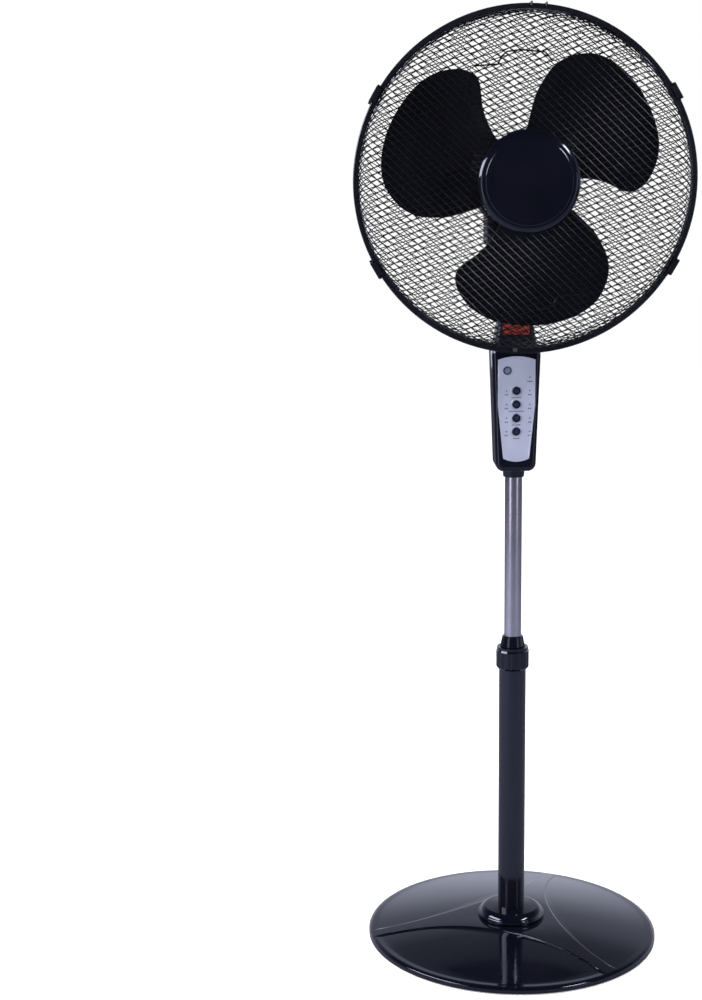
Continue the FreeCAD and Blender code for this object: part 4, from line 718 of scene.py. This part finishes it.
@dataclass
class WireGuard:
    """One domed half of the cage, pressed from a welded wire mesh with two sets of wires.

    Args:
        side: Front or rear half.
        profile: (radius, forward) points of the dome from the middle to the rim.
        angles: Directions of the two sets of wires in degrees, seen from the front.
        offsets: Shift of each set, as a share of the pitch.
    """

    side: Side
    profile: list[Span]
    angles: Span
    offsets: Span
    pitch: float = 7.55 * MM
    wire: float = 0.66 * MM
    sample: float = 5 * MM
    bead_radius: float = 212.0 * MM
    bead_thick: float = 2.8 * MM
    bead_forward: float = 3.3 * MM
    ring_forward: float = 118 * MM
    layer: float = 0.9
    end_margin: float = 2 * MM
    bend_sample: float = 3 * MM
    curve_steps: int = 12
    axis: FanAxis = field(default_factory=FanAxis)
    line: list[tuple[float, float, float]] = field(default_factory=list)

    def unroll(self) -> None:
        """Measures the dome's smooth profile: (length along the sheet, radius, forward)."""
        ends = self.profile
        dense: list[Span] = []
        for i in range(len(ends) - 1):
            near = (ends[max(0, i - 1)], ends[i], ends[i + 1], ends[min(len(ends) - 1, i + 2)])
            for k in range(self.curve_steps):
                t = k / self.curve_steps
                dense.append(tuple(smooth_curve(*(point[c] for point in near), t) for c in (0, 1)))
        dense.append(ends[-1])
        length = dense[0][0]
        self.line = [(length, *dense[0])]
        for (r0, f0), (r1, f1) in zip(dense, dense[1:]):
            length += math.hypot(r1 - r0, f1 - f0)
            self.line.append((length, r1, f1))

    def lift(self, u: float, v: float, off: float) -> Vector:
        """Point of the pressed dome for a point of the flat sheet.

        Args:
            u: Place across the sheet.
            v: Place up the sheet.
            off: Distance out of the dome.

        Returns:
            The point in the frame.
        """
        far = math.hypot(u, v)
        turn = math.atan2(v, u)
        line = self.line
        k = 1
        while k < len(line) - 1 and line[k][0] < far:
            k += 1
        (l0, r0, f0), (l1, r1, f1) = line[k - 1], line[k]
        share = (far - l0) / (l1 - l0)
        r, f = r0 + (r1 - r0) * share, f0 + (f1 - f0) * share
        size = math.hypot(r1 - r0, f1 - f0)
        out_r, out_f = -(f1 - f0) / size * self.side.value, (r1 - r0) / size * self.side.value
        return self.axis.at(r + out_r * off, turn, f + out_f * off)

    def wires(self, angle: float, offset: float, off: float) -> list[MeshData]:
        """One set of parallel wires.

        Args:
            angle: Direction of the wires in degrees.
            offset: Shift of the set, as a share of the pitch.
            off: Distance of the wires' middle out of the dome.

        Returns:
            Wire meshes.
        """
        inner, outer = self.line[0][0], self.line[-1][0]
        a = math.radians(angle)
        along, across = Vector((math.cos(a), math.sin(a))), Vector((-math.sin(a), math.cos(a)))
        count = int(outer / self.pitch) + 1
        made: list[MeshData] = []
        for k in range(-count, count + 1):
            d = (k + offset) * self.pitch
            if abs(d) >= outer - self.end_margin:
                continue
            reach = math.sqrt(outer * outer - d * d)
            gap = math.sqrt(inner * inner - d * d) if abs(d) < inner else 0.0
            spans = [(-reach, -gap), (gap, reach)] if gap else [(-reach, reach)]
            for start, end in spans:
                steps = max(2, round((end - start) / self.sample))
                path = []
                for i in range(steps + 1):
                    spot = along * (start + (end - start) * i / steps) + across * d
                    path.append(self.lift(spot.x, spot.y, off))
                made.append(tube(path, self.wire, 5))
        return made

    def extra(self, corners: Sequence[Span], wire: float, off: float) -> MeshData:
        """A bent wire that follows the dome through corners in the flat sheet.

        Args:
            corners: (across, up) places of the corners.
            wire: Radius of the wire.
            off: Distance out of the dome.

        Returns:
            Points and faces.
        """
        path: list[Vector] = []
        for (u0, v0), (u1, v1) in zip(corners, corners[1:]):
            steps = max(2, round(math.hypot(u1 - u0, v1 - v0) / self.bend_sample))
            path += [self.lift(u0 + (u1 - u0) * k / steps, v0 + (v1 - v0) * k / steps, off)
                     for k in range(steps)]
        path.append(self.lift(*corners[-1], off))
        return tube(path, wire, 6)

    def rolled_rim(self) -> MeshData:
        """Bead in the hoop that holds the cut ends of the wires."""
        forward = self.ring_forward + self.side.value * self.bead_forward
        return lathe(ring_section(self.bead_radius, forward, self.bead_thick), 180, self.axis.at)

    def build(self) -> None:
        """Makes the mesh and the rim of this half."""
        self.unroll()
        name = self.side.name.lower()
        sets = [self.wires(angle, offset, off) for angle, offset, off
                in zip(self.angles, self.offsets, (self.layer * self.wire, -self.layer * self.wire))]
        piece(f"{name}_guard_wires", joined([*sets[0], *sets[1]]), WIRE_BLACK, "head", f"{name}_guard")
        piece(f"{name}_guard_bead", self.rolled_rim(), GUARD_BLACK, "head")


@dataclass
class FrontGuard(WireGuard):
    """Front half, with the seam wires of the pressed sheet and its crimped middle edge."""

    seam: tuple[Span, ...] = ((-68 * MM, 140 * MM), (-38 * MM, 142 * MM), (-34 * MM, 151 * MM),
                              (-27 * MM, 157 * MM), (-10 * MM, 159 * MM), (20 * MM, 156 * MM),
                              (29 * MM, 145 * MM))
    crimp_inner: float = 63 * MM
    crimp_outer: float = 75 * MM
    crimps: int = 56
    seam_wire: float = 1.5
    seam_off: float = -2.4
    crimp_wire: float = 0.7
    crimp_off: float = 1.6

    def crimped_edge(self) -> MeshData:
        """Zigzag of folded wire ends round the middle plate.

        Returns:
            Points and faces.
        """
        path = []
        for k in range(2 * self.crimps):
            far = self.crimp_inner if k % 2 else self.crimp_outer
            turn = math.tau * k / (2 * self.crimps)
            path.append(self.lift(far * math.cos(turn), far * math.sin(turn), self.crimp_off * self.wire))
        return tube(path, self.crimp_wire * self.wire, 5, True)

    def build(self) -> None:
        """Makes the mesh, the rim, the seams and the crimped edge."""
        super().build()
        lower = [(-u, -v) for u, v in self.seam]
        seams = [self.extra(line, self.seam_wire * self.wire, self.seam_off * self.wire)
                 for line in (self.seam, lower)]
        piece("front_guard_seams", joined(seams), WIRE_BLACK, "head")
        piece("front_guard_crimp", self.crimped_edge(), WIRE_BLACK, "head")


@dataclass
class Cage:
    """Both halves of the guard with their hoop, clips, plate and middle badge."""

    def build(self) -> None:
        """Makes the wire halves and dresses the nodes of the cage."""
        FrontGuard(Side.FRONT, [(54 * MM, 165.5 * MM), (121 * MM, 160.3 * MM), (170 * MM, 155 * MM),
                                (188 * MM, 151.3 * MM), (200.5 * MM, 145.4 * MM), (207.0 * MM, 137 * MM),
                                (209.3 * MM, 124.5 * MM)],
                   (-43.8, 16.0), (0.2, 0.4)).build()
        WireGuard(Side.REAR, [(50 * MM, 61 * MM), (119 * MM, 68.4 * MM), (170 * MM, 76.4 * MM),
                              (188 * MM, 81.4 * MM), (200.5 * MM, 87.6 * MM), (207.0 * MM, 97 * MM),
                              (209.3 * MM, 111.5 * MM)],
                  (-30.0, 27.0), (0.1, 0.7)).build()
        dress({"guard_hoop": GUARD_BLACK, "hoop_screw": STEEL, "top_hook": GUARD_BLACK,
               "rear_guard_plate": GUARD_BLACK, "guard_nut": SATIN_BLACK, "front_badge": GLOSS_BLACK,
               "badge_backing": INNER_PLASTIC, "clip_brackets": GUARD_BLACK,
               "rim_clip_1": SATIN_BLACK, "rim_clip_2": SATIN_BLACK,
               "rim_clip_3": SATIN_BLACK, "rim_clip_4": SATIN_BLACK})


# ---------------------------------------------------------------- blades
@dataclass
class BladeWheel:
    """Three wide petal blades on their hub, with the nut that holds them."""

    def build(self) -> None:
        """Dresses the nodes of the wheel."""
        dress({"fan_blade": BLADE_BLACK, "blade_nut": SATIN_BLACK})


# ---------------------------------------------------------------- studio
@dataclass(frozen=True)
class Viewpoint:
    """Place and direction of the camera."""

    lens: float = 63.34
    place: tuple[float, float, float] = (-0.24134, -2.36565, 1.07202)
    heading: float = -0.46
    down: float = 10.55
    roll: float = -0.64

    def build(self) -> None:
        """Makes the camera and sets it as the scene's."""
        a, t, r = (math.radians(v) for v in (self.heading, self.down, self.roll))
        ahead = Vector((-math.sin(a) * math.cos(t), math.cos(a) * math.cos(t), -math.sin(t)))
        right = Vector((math.cos(a), math.sin(a), 0.0))
        up = right.cross(ahead)
        side = right * math.cos(r) + up * math.sin(r)
        top = up * math.cos(r) - right * math.sin(r)
        lens = bpy.data.cameras.new("camera")
        lens.sensor_width = 36.0
        lens.lens = self.lens
        lens.clip_start, lens.clip_end = 0.05, 100.0
        camera = bpy.data.objects.new("camera", lens)
        bpy.context.scene.collection.objects.link(camera)
        turn = Matrix((side, top, -ahead)).transposed()
        camera.matrix_world = Matrix.Translation(self.place) @ turn.to_4x4()
        bpy.context.scene.camera = camera


@dataclass(frozen=True)
class Softbox:
    """One large soft light.

    Args:
        name: Its name.
        place: Middle of its face.
        aim: Point that it faces.
        size: Width and height.
        radiance: Brightness of its face.
        colour: Colour of its light.
        mirrored: False if glossy surfaces don't show it.
        roll: Turn of its face about the way it looks, in degrees.
    """

    name: str
    place: tuple[float, float, float]
    aim: tuple[float, float, float]
    size: Span
    radiance: float
    colour: Colour = (1.0, 1.0, 1.0)
    mirrored: bool = True
    roll: float = 0.0

    def build(self) -> None:
        """Makes the light."""
        light = bpy.data.lights.new(self.name, "AREA")
        light.shape = "RECTANGLE"
        light.size, light.size_y = self.size
        light.energy = self.radiance * math.pi * self.size[0] * self.size[1]
        light.color = self.colour
        lamp = bpy.data.objects.new(self.name, light)
        bpy.context.scene.collection.objects.link(lamp)
        lamp.location = self.place
        lamp.visible_glossy = self.mirrored
        away = Vector(self.place) - Vector(self.aim)
        lamp.rotation_mode = "QUATERNION"
        turned = Quaternion((0.0, 0.0, 1.0), math.radians(self.roll))
        lamp.rotation_quaternion = away.to_track_quat("Z", "Y") @ turned


COOL: Colour = (0.90, 0.92, 1.0)
FAN_MIDDLE = (0.0, 0.0, 0.8)
FLOOR_MIDDLE = (0.0, 0.0, 0.0)
LIGHTS = (
    Softbox("left_bank", (-1.9, -1.75, 0.7), FAN_MIDDLE, (0.9, 1.2), 2.1, COOL),
    Softbox("right_bank", (1.9, -1.75, 0.7), FAN_MIDDLE, (0.8, 1.2), 1.3, COOL),
    Softbox("left_key", (-2.1, -0.6, 1.7), FLOOR_MIDDLE, (1.9, 0.9), 14.0),
    Softbox("right_key", (1.82, -1.33, 2.4), FAN_MIDDLE, (1.2, 0.42), 34.0, roll=25.0),
    Softbox("top_bank", (0.0, -0.4, 3.2), FLOOR_MIDDLE, (2.6, 2.0), 3.0, mirrored=False),
)


@dataclass
class Studio:
    """White floor, white surround, soft lights and camera.

    Args:
        floor_radius: Radius of the floor.
        floor_steps: Divisions round it.
        white: Brightness of the surround where the camera sees it.
        near_lift: Share of the floor's own light at its middle, where the camera sees it.
        lift_span: Distances from the middle over which that light rises to all of it.
        mirror_floor: Colour that glossy pieces mirror instead of the floor's own.
        dim_front: Strength of the surround's light on the camera's side.
        brightness: Its strength on the far side.
        front_span: Places from front to back between the two.
        side_lean: How much the right side counts as the far side.
        lowest: Upward part of a direction at which the bands begin.
        bands: (place, brightness) of the surround's light from low to high.
        tint: Colour of that light.
    """

    floor_radius: float = 7.0
    floor_steps: int = 96
    white: float = 1.0
    near_lift: float = 0.5
    lift_span: Span = (0.22, 1.1)
    mirror_floor: Colour = (0.30, 0.31, 0.38)
    dim_front: float = 0.08
    bands: tuple[Span, ...] = ((0.0, 0.10), (0.12, 0.80), (0.28, 1.00), (0.38, 0.80), (0.48, 0.42),
                               (0.54, 0.36), (0.60, 0.16), (0.68, 0.12), (0.70, 0.03), (1.0, 0.03))
    brightness: float = 1.5
    front_span: Span = (-0.25, 0.75)
    side_lean: float = 0.35
    lowest: float = -0.2
    tint: Colour = (0.80, 0.83, 1.0)

    def floor(self) -> None:
        """Makes the round floor."""
        steps = self.floor_steps
        turns = [math.tau * k / steps for k in range(steps)]
        points = [Vector((0, 0, 0))]
        points += [Vector((math.cos(turn), math.sin(turn), 0)) * self.floor_radius for turn in turns]
        faces = [(0, k + 1, (k + 1) % steps + 1) for k in range(steps)]
        mesh = bpy.data.meshes.new("floor")
        mesh.from_pydata([tuple(p) for p in points], [], faces)
        made = bpy.data.objects.new("floor", mesh)
        bpy.context.scene.collection.objects.link(made)
        mesh.materials.append(self.floor_paint())

    def floor_paint(self) -> bpy.types.Material:
        """Pale floor paint: lit up where the camera sees it, darker where glossy pieces mirror it.

        Returns:
            The material.
        """
        paint = Finish("floor", (0.86, 0.86, 0.86), (0.90, 0.90, 0.895), (0.62, 0.75), Grain.COATED,
                       0.00002, 3.0, specular=0.2, name="floor_paint")
        made = paint.material()
        tree = made.node_tree
        shader = tree.nodes["Principled BSDF"]
        seen = tree.nodes.new("ShaderNodeLightPath")
        place = tree.nodes.new("ShaderNodeTexCoord")
        far = tree.nodes.new("ShaderNodeVectorMath")
        far.operation = "LENGTH"
        tree.links.new(place.outputs["Object"], far.inputs[0])
        rise = tree.nodes.new("ShaderNodeMapRange")
        rise.interpolation_type = "SMOOTHSTEP"
        rise.inputs["From Min"].default_value = self.lift_span[0]
        rise.inputs["From Max"].default_value = self.lift_span[1]
        rise.inputs["To Min"].default_value = self.near_lift
        rise.inputs["To Max"].default_value = 1.0
        tree.links.new(far.outputs["Value"], rise.inputs["Value"])
        lift = tree.nodes.new("ShaderNodeMath")
        lift.operation = "MULTIPLY"
        tree.links.new(rise.outputs["Result"], lift.inputs[1])
        tree.links.new(seen.outputs["Is Camera Ray"], lift.inputs[0])
        tree.links.new(lift.outputs["Value"], shader.inputs["Emission Strength"])
        painted = shader.inputs["Base Color"].links[0].from_socket
        dim = tree.nodes.new("ShaderNodeMixRGB")
        dim.inputs["Color2"].default_value = (*self.mirror_floor, 1.0)
        tree.links.new(seen.outputs["Is Glossy Ray"], dim.inputs["Fac"])
        tree.links.new(painted, dim.inputs["Color1"])
        tree.links.new(dim.outputs["Color"], shader.inputs["Base Color"])
        shader.inputs["Emission Color"].default_value = (1.0, 1.0, 1.0, 1.0)
        return made

    def surround(self) -> None:
        """Makes the surround: plain white to the camera, else a band that is dim on the camera's side."""
        world = bpy.data.worlds.new("surround")
        bpy.context.scene.world = world
        world.use_nodes = True
        tree = world.node_tree
        tree.nodes.clear()
        place = tree.nodes.new("ShaderNodeTexCoord")
        parts = tree.nodes.new("ShaderNodeSeparateXYZ")
        tree.links.new(place.outputs["Generated"], parts.inputs["Vector"])
        rise = tree.nodes.new("ShaderNodeMapRange")
        rise.inputs["From Min"].default_value = self.lowest
        tree.links.new(parts.outputs["Z"], rise.inputs["Value"])
        band = tree.nodes.new("ShaderNodeValToRGB")
        stops = band.color_ramp.elements
        while len(stops) < len(self.bands):
            stops.new(0.5)
        for stop, (spot, value) in zip(stops, self.bands):
            stop.position = spot
            stop.color = (*(value * share for share in self.tint), 1.0)
        tree.links.new(rise.outputs["Result"], band.inputs["Fac"])
        lean = tree.nodes.new("ShaderNodeMath")
        lean.operation = "MULTIPLY_ADD"
        lean.inputs[1].default_value = self.side_lean
        tree.links.new(parts.outputs["X"], lean.inputs[0])
        tree.links.new(parts.outputs["Y"], lean.inputs[2])
        front = tree.nodes.new("ShaderNodeMapRange")
        front.interpolation_type = "SMOOTHSTEP"
        front.inputs["From Min"].default_value = self.front_span[0]
        front.inputs["From Max"].default_value = self.front_span[1]
        front.inputs["To Min"].default_value = self.dim_front
        front.inputs["To Max"].default_value = self.brightness
        tree.links.new(lean.outputs["Value"], front.inputs["Value"])
        glow = tree.nodes.new("ShaderNodeBackground")
        tree.links.new(band.outputs["Color"], glow.inputs["Color"])
        tree.links.new(front.outputs["Result"], glow.inputs["Strength"])
        plain = tree.nodes.new("ShaderNodeBackground")
        plain.inputs["Color"].default_value = (1, 1, 1, 1)
        plain.inputs["Strength"].default_value = self.white
        seen = tree.nodes.new("ShaderNodeLightPath")
        either = tree.nodes.new("ShaderNodeMixShader")
        tree.links.new(seen.outputs["Is Camera Ray"], either.inputs["Fac"])
        tree.links.new(glow.outputs["Background"], either.inputs[1])
        tree.links.new(plain.outputs["Background"], either.inputs[2])
        out = tree.nodes.new("ShaderNodeOutputWorld")
        tree.links.new(either.outputs["Shader"], out.inputs["Surface"])

    def build(self) -> None:
        """Makes the whole studio."""
        bpy.context.scene.view_settings.view_transform = "Standard"
        self.floor()
        self.surround()
        for light in LIGHTS:
            light.build()
        Viewpoint().build()
        log.info("made the studio")


def main() -> None:
    logging.basicConfig(level=logging.INFO, format="%(name)s: %(message)s")
    for part in (Studio(), Base(), Pole(), ControlHousing(), Neck(), MotorHead(), Cage(), BladeWheel()):
        part.build()


if __name__ == "__main__":
    main()
